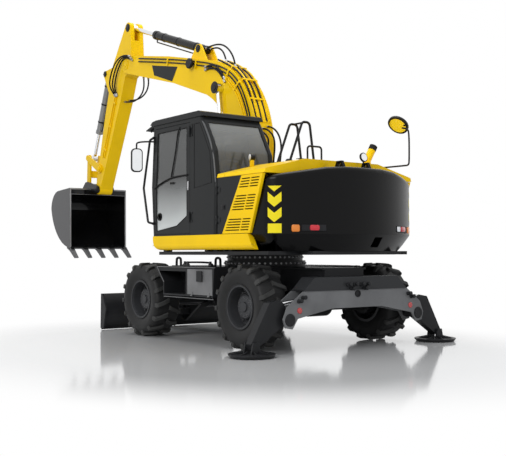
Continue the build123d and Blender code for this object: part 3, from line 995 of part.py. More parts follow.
# Link: two straps from the rocker's end down to the hitch, joined by a web.
LINK_OUT = 120
LINK_IN = 85
with BuildPart() as link:
    for low_y in (-LINK_OUT, LINK_IN):
        lever(ROCKER_END, LINK_PIN, low_y, low_y + LINK_OUT - LINK_IN, 58, 58)
    middle = toward(ROCKER_END, LINK_PIN, 300)
    block((middle[0] - 30, middle[0] + 30), (-LINK_IN, LINK_IN), (middle[1] - 70, middle[1] + 60))
    cross_pin(LINK_PIN, -LINK_OUT - 1, LINK_OUT + 1, 34 + BORE_GAP, Mode.SUBTRACT)
link.part.label = "link"
export_step(link.part, "parts/link.step")

# Bucket: a rolled shell between two side plates, with a lip and five teeth, and the
# hitch's ears on top that hold the arm's pin and the link's end.
SHELL = 30
LIP = (5120, 1276)
MOUTH_TOP = (5130, 2400)
TOOTH_TIP = (4890, 1114)
TEETH = 5
HITCH_IN = ARM_HALF + SIDE_GAP
HITCH_T = 28
with BuildPart() as bucket:
    with BuildSketch(side(BUCKET_HALF)) as shell:
        with BuildLine():
            Line(LIP, (5330, 1335))
            ThreePointArc((5330, 1335), (5760, 1640), (5945, 2040))
            ThreePointArc((5945, 2040), (5850, 2270), (5620, 2370))
            Line((5620, 2370), MOUTH_TOP)
            Line(MOUTH_TOP, LIP)
        make_face()
    extrude(amount=2 * BUCKET_HALF)
    with BuildSketch(side(BUCKET_HALF - 22), mode=Mode.PRIVATE) as hollow:
        with BuildLine():
            Line((LIP[0] - 60, LIP[1] + 14), (5318, 1335 + SHELL))
            ThreePointArc((5318, 1335 + SHELL), (5738, 1660), (5945 - SHELL, 2040))
            ThreePointArc((5945 - SHELL, 2040), (5829, 2249), (5620, 2370 - SHELL))
            Line((5620, 2370 - SHELL), (MOUTH_TOP[0] - 60, MOUTH_TOP[1] - SHELL + 4))
            Line((MOUTH_TOP[0] - 60, MOUTH_TOP[1] - SHELL + 4), (LIP[0] - 60, LIP[1] + 14))
        make_face()
    extrude(hollow.sketch, amount=2 * (BUCKET_HALF - 22), mode=Mode.SUBTRACT)
    for count in range(TEETH):
        y = (count - (TEETH - 1) / 2) * (2 * BUCKET_HALF - 70) / (TEETH - 1)
        plate(side(y + 35), [(LIP[0] + 130, LIP[1] + 62), (LIP[0] - 20, LIP[1] + 32), TOOTH_TIP,
                             (TOOTH_TIP[0] + 40, TOOTH_TIP[1] - 10), (LIP[0] + 20, LIP[1] - 32),
                             (LIP[0] + 130, LIP[1] + 10)], 70)
    for high_y in (-HITCH_IN, HITCH_IN + HITCH_T):
        plate(side(high_y), [(BUCKET_PIN[0] - 75, BUCKET_PIN[1] - 20), (BUCKET_PIN[0] - 60, BUCKET_PIN[1] + 50),
                             (BUCKET_PIN[0], BUCKET_PIN[1] + 78), (LINK_PIN[0] - 40, LINK_PIN[1] + 62),
                             (LINK_PIN[0] + 50, LINK_PIN[1] + 55), (5480, 2420), (5500, 2365), (MOUTH_TOP[0], MOUTH_TOP[1] - 25),
                             (5060, 2330), (BUCKET_PIN[0] + 20, BUCKET_PIN[1] - 75), (BUCKET_PIN[0] - 50, BUCKET_PIN[1] - 60)],
              HITCH_T)
    cross_pin(BUCKET_PIN, -HITCH_IN - HITCH_T - 1, HITCH_IN + HITCH_T + 1, 38 + BORE_GAP, Mode.SUBTRACT)
    cross_pin(LINK_PIN, -HITCH_IN - HITCH_T, HITCH_IN + HITCH_T, 34)
bucket.part.label = "bucket"
export_step(bucket.part, "parts/bucket.step")
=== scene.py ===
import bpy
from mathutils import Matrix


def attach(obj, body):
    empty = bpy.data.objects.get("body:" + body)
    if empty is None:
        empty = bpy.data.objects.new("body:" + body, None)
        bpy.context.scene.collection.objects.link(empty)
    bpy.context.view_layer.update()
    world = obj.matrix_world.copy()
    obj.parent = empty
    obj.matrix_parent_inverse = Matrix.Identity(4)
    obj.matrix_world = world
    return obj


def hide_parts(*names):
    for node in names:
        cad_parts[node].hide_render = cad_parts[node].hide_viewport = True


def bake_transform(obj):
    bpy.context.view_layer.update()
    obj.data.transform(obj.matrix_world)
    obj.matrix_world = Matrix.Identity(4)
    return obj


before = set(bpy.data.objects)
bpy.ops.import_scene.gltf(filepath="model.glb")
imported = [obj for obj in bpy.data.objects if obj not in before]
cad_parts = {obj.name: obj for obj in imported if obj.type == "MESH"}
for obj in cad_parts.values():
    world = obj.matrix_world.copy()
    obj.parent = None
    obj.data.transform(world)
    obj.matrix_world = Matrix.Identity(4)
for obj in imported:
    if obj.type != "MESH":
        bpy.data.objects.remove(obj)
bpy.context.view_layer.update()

import math
import bpy
import bmesh
from mathutils import Matrix, Vector
from mathutils.bvhtree import BVHTree

# Studio: the machine stands on a wide pale floor in front of nothing, lit by one large
# soft lamp behind the camera, one overhead and a pale surround that metal and glass see.
SLEWING_X = -1.938


def place(x, y, z):
    """A point measured in metres from the slewing centre on the floor, as a place in the frame."""
    return Vector((SLEWING_X + x, y, z))


def in_scene(name, data):
    """A new object in the scene."""
    thing = bpy.data.objects.new(name, data)
    bpy.context.scene.collection.objects.link(thing)
    return thing


def fill(tree, node, sockets):
    """Sets each named socket to a value, or feeds it from another node's output."""
    for socket, value in sockets.items():
        if isinstance(value, bpy.types.NodeSocket):
            tree.links.new(value, node.inputs[socket])
        else:
            node.inputs[socket].default_value = value


def add(tree, kind, sockets, **settings):
    """A new shader node with its settings and sockets."""
    node = tree.nodes.new("ShaderNode" + kind)
    for setting, value in settings.items():
        setattr(node, setting, value)
    fill(tree, node, sockets)
    return node


def blank(name, sockets):
    """A new material with its node tree and its shader."""
    material = bpy.data.materials.new(name)
    material.use_nodes = True
    shader = material.node_tree.nodes["Principled BSDF"]
    fill(material.node_tree, shader, sockets)
    return material, material.node_tree, shader


world = bpy.data.worlds.new("pale surround")
bpy.context.scene.world = world
world.use_nodes = True
sky = world.node_tree
rays = add(sky, "LightPath", {}).outputs
seen = add(sky, "Math", {0: rays["Is Camera Ray"], 1: rays["Is Glossy Ray"]}, operation="MAXIMUM")
seen_too = add(sky, "Math", {0: seen.outputs[0], 1: rays["Is Transmission Ray"]}, operation="MAXIMUM")
white = add(sky, "Background", {"Color": (1, 1, 1, 1), "Strength": 1.0})
ambient = sky.nodes["Background"]
fill(sky, ambient, {"Color": (0.93, 0.96, 1, 1), "Strength": 0.55})
either = add(sky, "MixShader", {"Fac": seen_too.outputs[0], 1: ambient.outputs[0], 2: white.outputs[0]})
fill(sky, sky.nodes["World Output"], {"Surface": either.outputs[0]})

# columns: where the lamp hangs, what it points at, its width, its power in watts
for name, hangs, aims, width, power in (
        ("soft lamp behind the camera", (-7, 15, 9), (0, 0, 1.6), 9, 1500),
        ("overhead lamp", (1, 0, 13), (0, 0, 0), 10, 900),
        ("low fill behind the tail", (-16, -6, 4), (0, 0, 1.5), 6, 350)):
    lamp = bpy.data.lights.new(name, "AREA")
    lamp.size = width
    lamp.energy = power
    holder = in_scene(name, lamp)
    holder.location = place(*hangs)
    holder.visible_glossy = name != "low fill behind the tail"
    holder.rotation_euler = (place(*aims) - holder.location).to_track_quat("-Z", "Y").to_euler()

FLOOR_REACH = 60
FADE_FROM = 2.6
FADE_TO = 4.4
floor_mesh = bpy.data.meshes.new("floor")
floor_mesh.from_pydata([(x * FLOOR_REACH, y * FLOOR_REACH, 0) for x, y in ((-1, -1), (1, -1), (1, 1), (-1, 1))],
                       [], [(0, 1, 2, 3)])
in_scene("floor", floor_mesh)
floor_paint, tree, board = blank("pale polished floor", {"Base Color": (0.62, 0.62, 0.62, 1), "Roughness": 0.09,
                                                         "Specular IOR Level": 0.6})
# Beyond an oval round the machine the floor glows plain white to the camera; inside it the floor shows its own grey
# under the lamps, a painted shade standing in for the machine's shadow and reflection there.
glow = add(tree, "Emission", {"Color": (1, 1, 1, 1), "Strength": 1.0})
spot = add(tree, "NewGeometry", {})
beside = add(tree, "VectorMath", {0: spot.outputs["Position"], 1: place(-0.6, 0.9, 0)}, operation="SUBTRACT")
longer = add(tree, "VectorMath", {0: beside.outputs["Vector"], 1: (0.8, 1, 1)}, operation="MULTIPLY")
reach = add(tree, "VectorMath", {0: longer.outputs["Vector"]}, operation="LENGTH")
fade = add(tree, "MapRange", {"Value": reach.outputs["Value"], "From Min": FADE_FROM, "From Max": FADE_TO,
                              "To Min": 0.0, "To Max": 1.0}, interpolation_type="SMOOTHSTEP")
floor_rays = add(tree, "LightPath", {})
share = add(tree, "Math", {0: fade.outputs["Result"], 1: floor_rays.outputs["Is Camera Ray"]}, operation="MULTIPLY")
either = add(tree, "MixShader", {"Fac": share.outputs[0], 1: board.outputs[0], 2: glow.outputs[0]})
fill(tree, tree.nodes["Material Output"], {"Surface": either.outputs[0]})
floor_mesh.materials.append(floor_paint)

bpy.context.scene.view_settings.view_transform = "Standard"

# Camera: low behind the left rear wheel, a long lens, looking along the machine at its
# working arm. The picture is 506 by 456 and the lens is 882 pixels long.
PICTURE_WIDTH = 506
LENS_PIXELS = 882.2
SENSOR_MM = 36
YAW = -0.64225
PITCH = 0.02784
ROLL = -0.00217
eye = bpy.data.cameras.new("camera")
eye.sensor_width = SENSOR_MM
eye.sensor_fit = "HORIZONTAL"
eye.lens = LENS_PIXELS / PICTURE_WIDTH * SENSOR_MM
eye.clip_end = 200
camera = in_scene("camera", eye)
camera.location = place(-9.8683, 7.5923, 1.1991)
ahead = Vector((math.cos(YAW) * math.cos(PITCH), math.sin(YAW) * math.cos(PITCH), math.sin(PITCH)))
camera.rotation_euler = (ahead.to_track_quat("-Z", "Y").to_matrix() @ Matrix.Rotation(ROLL, 3, "Z")).to_euler()
bpy.context.scene.camera = camera

# Chassis: a welded steel frame with its two axles, sprayed satin black-grey all over,
# its tone drifting a little at random. Everything else bolts or pins to it.


def ramp(tree, share, colours, stops=(0, 1)):
    """A tone that runs between two colours."""
    tones = add(tree, "ValToRGB", {"Fac": share})
    for stop, at, colour in zip(tones.color_ramp.elements, stops, colours):
        stop.position = at
        stop.color = (*colour, 1)
    return tones.outputs["Color"]


def sprayed(name, colour, roughness, coat=0.0, uneven=0.12, peel=0.02, metallic=0.0):
    """Sprayed paint: one colour that drifts a little over a panel, with a fine orange peel and rubbed edges."""
    material, tree, shader = blank(name, {"Metallic": metallic, "Specular IOR Level": 0.10, "Coat Weight": coat,
                                          "Coat Roughness": 0.06})
    where = add(tree, "TexCoord", {}).outputs["Object"]
    drift = add(tree, "TexNoise", {"Vector": where, "Scale": 2.3, "Detail": 5}).outputs["Fac"]
    dark = [c * (1 - uneven) for c in colour]
    light = [min(c * (1 + uneven * 0.6), 1) for c in colour]
    polish = add(tree, "MapRange", {"Value": drift, "To Min": roughness * 0.85, "To Max": roughness * 1.2})
    skin = add(tree, "TexNoise", {"Vector": where, "Scale": 160, "Detail": 2})
    edge = add(tree, "Bevel", {"Radius": 0.006}, samples=4)
    bump = add(tree, "Bump", {"Strength": peel, "Distance": 0.002, "Height": skin.outputs["Fac"],
                              "Normal": edge.outputs["Normal"]})
    fill(tree, shader, {"Base Color": ramp(tree, drift, (dark, light), (0.3, 0.7)),
                        "Roughness": polish.outputs["Result"], "Normal": bump.outputs["Normal"]})
    return material


def wear(material, *nodes):
    """Gives CAD nodes their material."""
    for node in nodes:
        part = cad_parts[node].data
        part.materials.clear()
        part.materials.append(material)


def fitted(name, data, material, body, instead_of=None):
    """A new piece with its material and slot, riding on a body if one is named, and standing in for a CAD node."""
    data.materials.append(material)
    thing = in_scene(name, data)
    if body:
        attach(thing, body)
    if instead_of:
        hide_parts(instead_of)
    return thing


def made(name, shapes, material, body, smooth=False, rounded=0.0, instead_of=None, in_frame=False):
    """A new piece of shapes, each its corners and faces, with its edges rounded where that is given."""
    verts, faces = [], []
    for some_verts, some_faces in shapes:
        first = len(verts)
        verts += some_verts if in_frame else [place(*v) for v in some_verts]
        faces += [tuple(first + corner for corner in face) for face in some_faces]
    mesh = bpy.data.meshes.new(name)
    mesh.from_pydata(verts, [], faces)
    mesh.validate()
    work = bmesh.new()
    work.from_mesh(mesh)
    bmesh.ops.recalc_face_normals(work, faces=work.faces)
    work.to_mesh(mesh)
    work.free()
    mesh.polygons.foreach_set("use_smooth", [smooth] * len(mesh.polygons))
    thing = fitted(name, mesh, material, body, instead_of)
    if rounded:
        edges = thing.modifiers.new("rounded edges", "BEVEL")
        edges.width = rounded
        edges.segments = 2
        edges.limit_method = "ANGLE"
        edges.angle_limit = math.radians(40)
    return thing


def wrapped(rings, around, closed=False):
    """Faces over a run of rings of corners, whose last ring joins the first, or else whose two ends are closed."""
    faces = []
    for ring in range(rings if closed else rings - 1):
        onward = (ring + 1) % rings
        for step in range(around):
            after = (step + 1) % around
            faces.append((ring * around + step, ring * around + after,
                          onward * around + after, onward * around + step))
    if not closed:
        faces += [tuple(range(around)), tuple(range(rings * around - 1, (rings - 1) * around - 1, -1))]
    return faces


def turned(profile, centre, axis, steps=32):
    """A turned shape: its profile is (radius, distance along the axis) from end to end."""
    axis = Vector(axis).normalized()
    across = axis.orthogonal().normalized()
    third = axis.cross(across)
    verts = []
    for radius, out in profile:
        for step in range(steps):
            turn = 2 * math.pi * step / steps
            verts.append(Vector(centre) + axis * out + (across * math.cos(turn) + third * math.sin(turn)) * radius)
    return verts, wrapped(len(profile), steps)


def bolt_head(centre, axis, width, tall):
    """A hexagon bolt head on its washer, standing on a face, as two shapes."""
    return [turned([(width * 0.75, -0.001), (width * 0.75, tall * 0.25)], centre, axis, 16),
            turned([(width * 0.5, tall * 0.2), (width * 0.5, tall * 0.85), (width * 0.38, tall)], centre, axis, 6)]


satin_black = sprayed("satin black-grey paint", (0.017, 0.0175, 0.019), 0.40, coat=0.08, uneven=0.25, peel=0.05)
bolt_steel = sprayed("dull bolt steel", (0.11, 0.11, 0.115), 0.42, uneven=0.3, metallic=0.8)
wear(satin_black, "chassis_frame", "rear_axle", "front_axle", "knuckle_left", "knuckle_right", "step_boxes",
     "leg_left", "leg_right", "foot_left", "foot_right", "upper_frame")

# Bolts of the slewing ring: a row of large heads round the fixed ring's flange, with a
# second row on the turning half above it.
RING_BOLTS = 48
ring_steel = sprayed("bright bolt steel", (0.55, 0.55, 0.56), 0.35, uneven=0.3, metallic=0.8)
# columns: which ring, its radius, height of its row, body
for half, radius, z, body in (("fixed", 0.570, 1.052, "chassis"), ("turning", 0.530, 1.135, "upper")):
    heads = []
    for count in range(RING_BOLTS):
        turn = 2 * math.pi * count / RING_BOLTS
        out = Vector((math.cos(turn), math.sin(turn), 0))
        heads += bolt_head(Vector((0, 0, z)) + out * radius, out, 0.020, 0.014)
    made(f"ring_bolts_{half}", heads, ring_steel, body, rounded=0.001)

# Tyres: single wide traction tyres of black rubber, with chunky lugs that meet in an
# arrow and wrap over the shoulder, and a smooth bulged sidewall with two raised rings.
rubber, tree, tread_shader = blank("tyre rubber", {"Specular IOR Level": 0.22})
where = add(tree, "TexCoord", {}).outputs["Object"]
dust = add(tree, "TexNoise", {"Vector": where, "Scale": 9, "Detail": 6}).outputs["Fac"]
dust_polish = add(tree, "MapRange", {"Value": dust, "To Min": 0.42, "To Max": 0.68})
grain = add(tree, "TexNoise", {"Vector": where, "Scale": 220})
grain_bump = add(tree, "Bump", {"Strength": 0.12, "Distance": 0.002, "Height": grain.outputs["Fac"]})
fill(tree, tread_shader, {"Base Color": ramp(tree, dust, ((0.007, 0.007, 0.0075), (0.022, 0.022, 0.022))),
                          "Roughness": dust_polish.outputs["Result"], "Normal": grain_bump.outputs["Normal"]})
# The lugs are lighter than the carcass: partly dust and wear on their tops, partly a painted highlight where their
# ends catch the light.
lug_rubber_worn_and_highlighted = sprayed("worn lug rubber with painted highlight", (0.050, 0.050, 0.049), 0.55, uneven=0.45, peel=0.3)

TYRE_R = 0.530
TYRE_STEPS = 90
WHEEL_Y = 1.060
LUG_COUNT = 15
SHOULDER = 0.19
# columns: which wheel, how far ahead of the slewing centre its axle is, its side
WHEELS = (("front_left", 1.343, 1), ("front_right", 1.343, -1), ("rear_left", -1.094, 1), ("rear_right", -1.094, -1))
# columns: distance from the wheel's middle plane, radius
CARCASS = ((-0.170, 0.256), (-0.178, 0.286), (-0.192, 0.325), (-0.203, 0.375), (-0.2045, 0.405), (-0.2015, 0.435),
           (-0.196, 0.462), (-0.178, 0.484), (-0.14, 0.492), (-0.07, 0.495), (0.0, 0.496))
# columns: distance from the middle plane, radius of the lug's top, its sweep round in degrees, half its width
LUG_RUN = ((0.006, 0.5275, -6.0, 0.031), (0.060, 0.5275, -3.2, 0.029), (0.125, 0.526, -0.4, 0.026),
           (0.176, 0.523, 1.6, 0.026), (0.199, 0.512, 2.2, 0.027), (0.2075, 0.485, 2.3, 0.028),
           (0.2085, 0.452, 2.3, 0.026))


def on_wheel(hub, radius, out, degrees):
    """A point on a wheel from its radius, its distance out and its turn."""
    turn = math.radians(degrees)
    return hub + Vector((radius * math.cos(turn), out, radius * math.sin(turn)))


for corner, axle_x, side in WHEELS:
    hub = Vector((axle_x, side * WHEEL_Y, TYRE_R))
    wall = list(CARCASS) + [(-out, radius) for out, radius in reversed(CARCASS[:-1])]
    verts = [on_wheel(hub, radius, out, 360 * step / TYRE_STEPS)
             for out, radius in wall for step in range(TYRE_STEPS)]
    made(f"tyre_carcass_{corner}", [(verts, wrapped(len(wall), TYRE_STEPS, closed=True))], rubber, f"wheel_{corner}",
         smooth=True, instead_of=f"tyre_{corner}")
    lugs = []
    for lug in range(2 * LUG_COUNT):
        lean = 1 if lug % 2 else -1
        middle = 180 * (lug + 0.5) / LUG_COUNT
        verts = []
        for out, top, sweep, half in LUG_RUN:
            spread = math.degrees(half / 0.5)
            base = min(top, 0.500) - 0.03 if out < SHOULDER else top - 0.002
            inner = lean * (out if out < SHOULDER else out - 0.03)
            for radius, beside, turn in ((base, inner, -spread * 1.15), (top, lean * out, -spread),
                                         (top, lean * out, spread), (base, inner, spread * 1.15)):
                verts.append(on_wheel(hub, radius, beside, middle + sweep + turn))
        lugs.append((verts, wrapped(len(LUG_RUN), 4)))
    made(f"tyre_lugs_{corner}", lugs, lug_rubber_worn_and_highlighted, f"wheel_{corner}", rounded=0.004,
         instead_of=f"tyre_{corner}")

# Rims: pressed steel with a deep dish, painted dark grey like the frame, held by ten
# nuts, with a ring of small screws on the hub reduction's cap.
rim_grey = sprayed("dark rim paint", (0.040, 0.041, 0.044), 0.34, coat=0.10, uneven=0.2, peel=0.03)
for corner, axle_x, side in WHEELS:
    wear(rim_grey, f"rim_{corner}")
    hub = Vector((axle_x, side * WHEEL_Y, TYRE_R))
    heads = []
    # columns: how many, radius of their circle, distance out, first one's turn as a share of the pitch, width, height
    for many, radius, out, first, width, tall in ((10, 0.207, 0.010, 0.5, 0.034, 0.034),
                                                  (12, 0.112, 0.104, 0.0, 0.016, 0.010)):
        for count in range(many):
            spot_on_rim = on_wheel(hub, radius, side * out, 360 * (count + first) / many)
            heads += bolt_head(spot_on_rim, (0, side, 0), width, tall)
    made(f"wheel_nuts_{corner}", heads, bolt_steel, f"wheel_{corner}", rounded=0.001)
    lip_verts, lip_faces = turned([(0.262, side * 0.178), (0.270, side * 0.187), (0.280, side * 0.188),
                                   (0.285, side * 0.180), (0.280, side * 0.172)], hub, (0, 1, 0), 72)
    made(f"rim_lip_{corner}", [(lip_verts, lip_faces[:-2])], satin_black, f"wheel_{corner}", smooth=True)

# Steps and tool box: folded plate between the wheels, its edges turned over. Rows of raised
# pips give a boot its grip, and bent lifting loops and a pipe stand on the frame beside it.
FRAME_SIDE = 0.66
SIDES = (("left", 1), ("right", -1))
box_grey = sprayed("grey lid paint", (0.17, 0.17, 0.173), 0.32, coat=0.15, uneven=0.35, peel=0.03)
wear(box_grey, "tool_lid")
for label, side in SIDES:
    pips = []
    for column in range(31):
        for row in range(6):
            spot_on_top = (-0.50 + column * 0.044 + (0.022 if row % 2 else 0), side * (0.90 + row * 0.055), 1.0095)
            pips.append(turned([(0.013, 0.0), (0.011, 0.004), (0.006, 0.0055)], spot_on_top, (0, 0, 1), 8))
    made(f"step_tread_{label}", pips, satin_black, "chassis", smooth=True)


def curve_through(name, kind, route):
    """A curve along a route of points from the slewing centre, and its line."""
    curve = bpy.data.curves.new(name, "CURVE")
    curve.dimensions = "3D"
    line = curve.splines.new(kind)
    line.points.add(len(route) - 1)
    for point, spot_on_route in zip(line.points, route):
        point.co = (*place(*spot_on_route), 1)
    if kind == "NURBS":
        line.order_u = 3
        line.use_endpoint_u = True
    return curve, line


def bent_bar(name, route, radius, material, body, instead_of=None):
    """A round bar or steel pipe bent along a route."""
    curve, line = curve_through(name, "NURBS", route)
    curve.bevel_depth = radius
    curve.bevel_resolution = 4
    curve.use_fill_caps = True
    line.resolution_u = 8
    return fitted(name, curve, material, body, instead_of)


def at_y(y, spots):
    """Points (x, z) in one upright plane along the machine."""
    return [(x, y, z) for x, z in spots]


def prism(outline, through):
    """A flat outline, pushed through by a vector."""
    through = Vector(through)
    return [Vector(v) for v in outline] + [Vector(v) + through for v in outline], wrapped(2, len(outline))


def block(xs, ys, zs):
    """A square-edged block between two x, two y and two z."""
    return prism([(xs[0], ys[0], zs[0]), (xs[1], ys[0], zs[0]), (xs[1], ys[1], zs[0]), (xs[0], ys[1], zs[0])],
                 (0, 0, zs[1] - zs[0]))


LOOP = ((-0.06, 0.97), (-0.06, 1.07), (-0.05, 1.125), (0.05, 1.125), (0.06, 1.07), (0.06, 0.97))
FRAME_PIPE = ((0.30, 0.99), (0.36, 1.050), (0.50, 1.062), (0.95, 1.062), (1.08, 1.050), (1.14, 0.99))
for label, side in SIDES:
    for count, x in enumerate((0.21, 1.23)):
        bent_bar(f"lifting_loop_{label}_{count}", at_y(side * FRAME_SIDE, [(x + ahead, z) for ahead, z in LOOP]),
                 0.018, satin_black, "chassis")
    bent_bar(f"frame_pipe_{label}", at_y(side * FRAME_SIDE, FRAME_PIPE), 0.014, satin_black, "chassis")
    unions = [turned([(0.030, 0.0), (0.030, 0.05), (0.020, 0.055), (0.020, 0.09)], (x, side * FRAME_SIDE, 0.985),
                     (0, 0, 1), 6) for x in (0.98, 1.06, 0.40)]
    made(f"frame_pipe_unions_{label}", unions, bolt_steel, "chassis", rounded=0.001)
    for edge, route in (("top", ((-0.600, 1.006), (0.10, 1.006), (0.826, 1.006))),
                        ("slant", ((0.832, 1.002), (0.74, 0.90), (0.650, 0.795))),
                        ("foot", ((0.650, 0.600), (0.10, 0.600), (-0.560, 0.600)))):
        bent_bar(f"box_{edge}_edge_{label}", at_y(side * 1.2635, route), 0.005, box_grey, "chassis")
made("tool_lid_latch", [block((-0.305, -0.175), (1.262, 1.274), (0.820, 0.960))], satin_black, "tool_lid",
     rounded=0.003)

# Stabilisers: a welded beam in grey paint and box legs in the frame's paint, with bolted caps on the
# pivots, round red reflectors, screwed hose ports, a tow socket, and dished feet stiffened by ribs.
reflector_red, tree, lens = blank("red reflector", {"Roughness": 0.12, "Coat Weight": 1.0})
cells = add(tree, "TexVoronoi", {"Vector": add(tree, "TexCoord", {}).outputs["Object"], "Scale": 140})
fill(tree, lens, {"Base Color": ramp(tree, cells.outputs["Distance"], ((0.55, 0.012, 0.012), (0.30, 0.004, 0.006)))})
BEAM_REAR = -1.880
PIVOT_Y = 1.08
PIVOT_Z = 0.41
FOOT_Y = 1.545
FOOT_RIBS = 8
for label, side in SIDES:
    made(f"reflector_{label}", [turned([(0.036, 0), (0.036, 0.006), (0.030, 0.010), (0.001, 0.011)],
                                       (BEAM_REAR, side * 0.935, 0.515), (-1, 0, 0))],
         reflector_red, "chassis")
    cap = [turned([(0.075, 0.0), (0.075, 0.008), (0.068, 0.012)], (BEAM_REAR, side * PIVOT_Y, PIVOT_Z), (-1, 0, 0))]
    for y, z in ((0.05, 0.0), (-0.025, 0.043), (-0.025, -0.043)):
        cap += bolt_head((BEAM_REAR, side * PIVOT_Y + y, PIVOT_Z + z), (-1, 0, 0), 0.024, 0.016)
    made(f"leg_pivot_cap_{label}", cap, satin_black, "chassis", rounded=0.002)
    ribs = []
    middle = Vector((-1.757, side * FOOT_Y, 0.044))
    for count in range(FOOT_RIBS):
        turn = 2 * math.pi * (count + 0.5) / FOOT_RIBS
        out = Vector((math.cos(turn), math.sin(turn), 0))
        beside = Vector((-math.sin(turn), math.cos(turn), 0)) * 0.005
        low = middle + out * 0.105 - beside
        ribs.append(prism([low, middle + out * 0.255 - beside, low + Vector((0, 0, 0.035))], beside * 2))
    made(f"foot_ribs_{label}", ribs, satin_black, f"foot_{label}", rounded=0.0015)
    plate = [(-1.700, side * y, z) for y, z in ((1.225, 0.628), (1.60, 0.165), (1.585, 0.120), (1.20, 0.585))]
    made(f"leg_stiffener_{label}", [prism(plate, (0.004, 0, 0))], satin_black, f"leg_{label}",
         rounded=0.002)


def paint_of(material):
    """A sprayed material's tree and shader, the place on the piece by axis, and the colour so far."""
    tree = material.node_tree
    shader = tree.nodes["Principled BSDF"]
    axes = add(tree, "SeparateXYZ", {0: add(tree, "TexCoord", {}).outputs["Object"]}).outputs
    return tree, shader, axes, shader.inputs["Base Color"].links[0].from_socket


beam_paint = sprayed("beam paint", (0.150, 0.152, 0.156), 0.36, coat=0.08, uneven=0.20, peel=0.04)
tree, shader, axes, tone = paint_of(beam_paint)
# Above the fold line the beam is painted much darker: painted shade standing in for its sloped top face turned away
# from the light.
painted_shade_above_fold = add(tree, "MapRange", {"Value": axes["Z"], "From Min": 0.733, "From Max": 0.739})
shaded = add(tree, "MixRGB", {"Fac": painted_shade_above_fold.outputs["Result"], "Color1": tone,
                              "Color2": (0.030, 0.031, 0.033, 1)})
fill(tree, shader, {"Base Color": shaded.outputs["Color"]})
wear(beam_paint, "stabiliser_beam")
bent_bar("beam_fold", [(BEAM_REAR - 0.001, y, 0.736) for y in (0.84, 0.0, -0.84)], 0.006, beam_paint, "chassis")
PORT = ((0.026, 0.0), (0.026, 0.018), (0.019, 0.022), (0.019, 0.045), (0.025, 0.048), (0.025, 0.066), (0.016, 0.070))
ports = [turned(PORT, (BEAM_REAR, y, z), (-1, 0, lift), 12)
         for y, z, lift in ((0.165, 0.800, 0.2), (0.110, 0.755, 0.0), (0.055, 0.800, 0.2), (-0.055, 0.800, 0.2),
                            (-0.110, 0.755, 0.0), (-0.150, 0.800, 0.2), (0.89, 0.665, 0.1), (0.95, 0.625, 0.1),
                            (-0.89, 0.665, 0.1), (-0.95, 0.625, 0.1))]
made("hose_ports", ports, satin_black, "chassis", rounded=0.001)
tow = turned([(0.045, 0.0), (0.045, 0.012), (0.032, 0.016), (0.032, 0.004)], (BEAM_REAR, 0.0, 0.690), (-1, 0, 0))
made("tow_pin_socket", [tow], satin_black, "chassis", rounded=0.002)

# Hydraulic cylinders: honed chrome rods that run into barrels sprayed black, each with a
# screwed gland at its mouth and a steel pipe that brings oil to that end.
chrome, tree, rod_shader = blank("hard chrome", {"Metallic": 1.0, "Base Color": (0.78, 0.79, 0.81, 1)})
smear = add(tree, "TexNoise", {"Vector": add(tree, "TexCoord", {}).outputs["Object"], "Scale": 7})
rod_polish = add(tree, "MapRange", {"Value": smear.outputs["Fac"], "To Min": 0.10, "To Max": 0.24})
fill(tree, rod_shader, {"Roughness": rod_polish.outputs["Result"]})
barrel_black = sprayed("gloss black barrel paint", (0.008, 0.008, 0.009), 0.26, coat=0.2, uneven=0.2)
wear(chrome, "steering_rod", "blade_rods", "leg_rod_left", "leg_rod_right", "boom_rods", "arm_rod", "bucket_rod")
wear(barrel_black, "blade_barrels", "leg_barrel_left", "leg_barrel_right", "boom_barrels", "arm_barrel")
# columns: name, base pin, rod eye's pin, barrel length, barrel radius, body
for name, base, end, length, radius, body in (
        ("arm", (1.54, 0.0, 4.37), (3.76, 0.0, 5.15), 1.56, 0.068, "arm_barrel"),
        ("bucket", (4.66, 0.0, 4.48), (5.29, 0.0, 2.99), 1.13, 0.060, "bucket_barrel"),
        ("boom_left", (0.52, 0.214, 1.33), (0.86, 0.214, 3.64), 1.42, 0.046, "boom_barrels"),
        ("boom_right", (0.52, -0.214, 1.33), (0.86, -0.214, 3.64), 1.42, 0.046, "boom_barrels")):
    run = (Vector(end) - Vector(base)).normalized()
    under = Vector((run.z, 0, -run.x))
    band = [(radius + proud, out)
            for proud, out in ((0.001, -0.014), (0.006, -0.012), (0.006, 0.012), (0.001, 0.014))]
    bands = [turned(band, Vector(base) + run * distance, run, 40)
             for distance in (0.22, length * 0.5, length * 0.8)]
    gland = [(radius + 0.002, -0.05), (radius + 0.006, -0.046), (radius + 0.006, -0.004), (radius, 0.0),
             (radius * 0.62, 0.008)]
    bands.append(turned(gland, Vector(base) + run * (length + 0.004), run, 12))
    made(f"{name}_cylinder_bands", bands, barrel_black, body, rounded=0.001)
    low, high = (Vector(base) + run * distance + under * (radius - 0.004) for distance in (0.16, length - 0.07))
    off = under * 0.045
    route = [high, high + off, high + off - run * 0.05, (high + low) / 2 + off, low + off + run * 0.05,
             low + off, low]
    bent_bar(f"{name}_cylinder_pipe", route, 0.011, barrel_black, body)

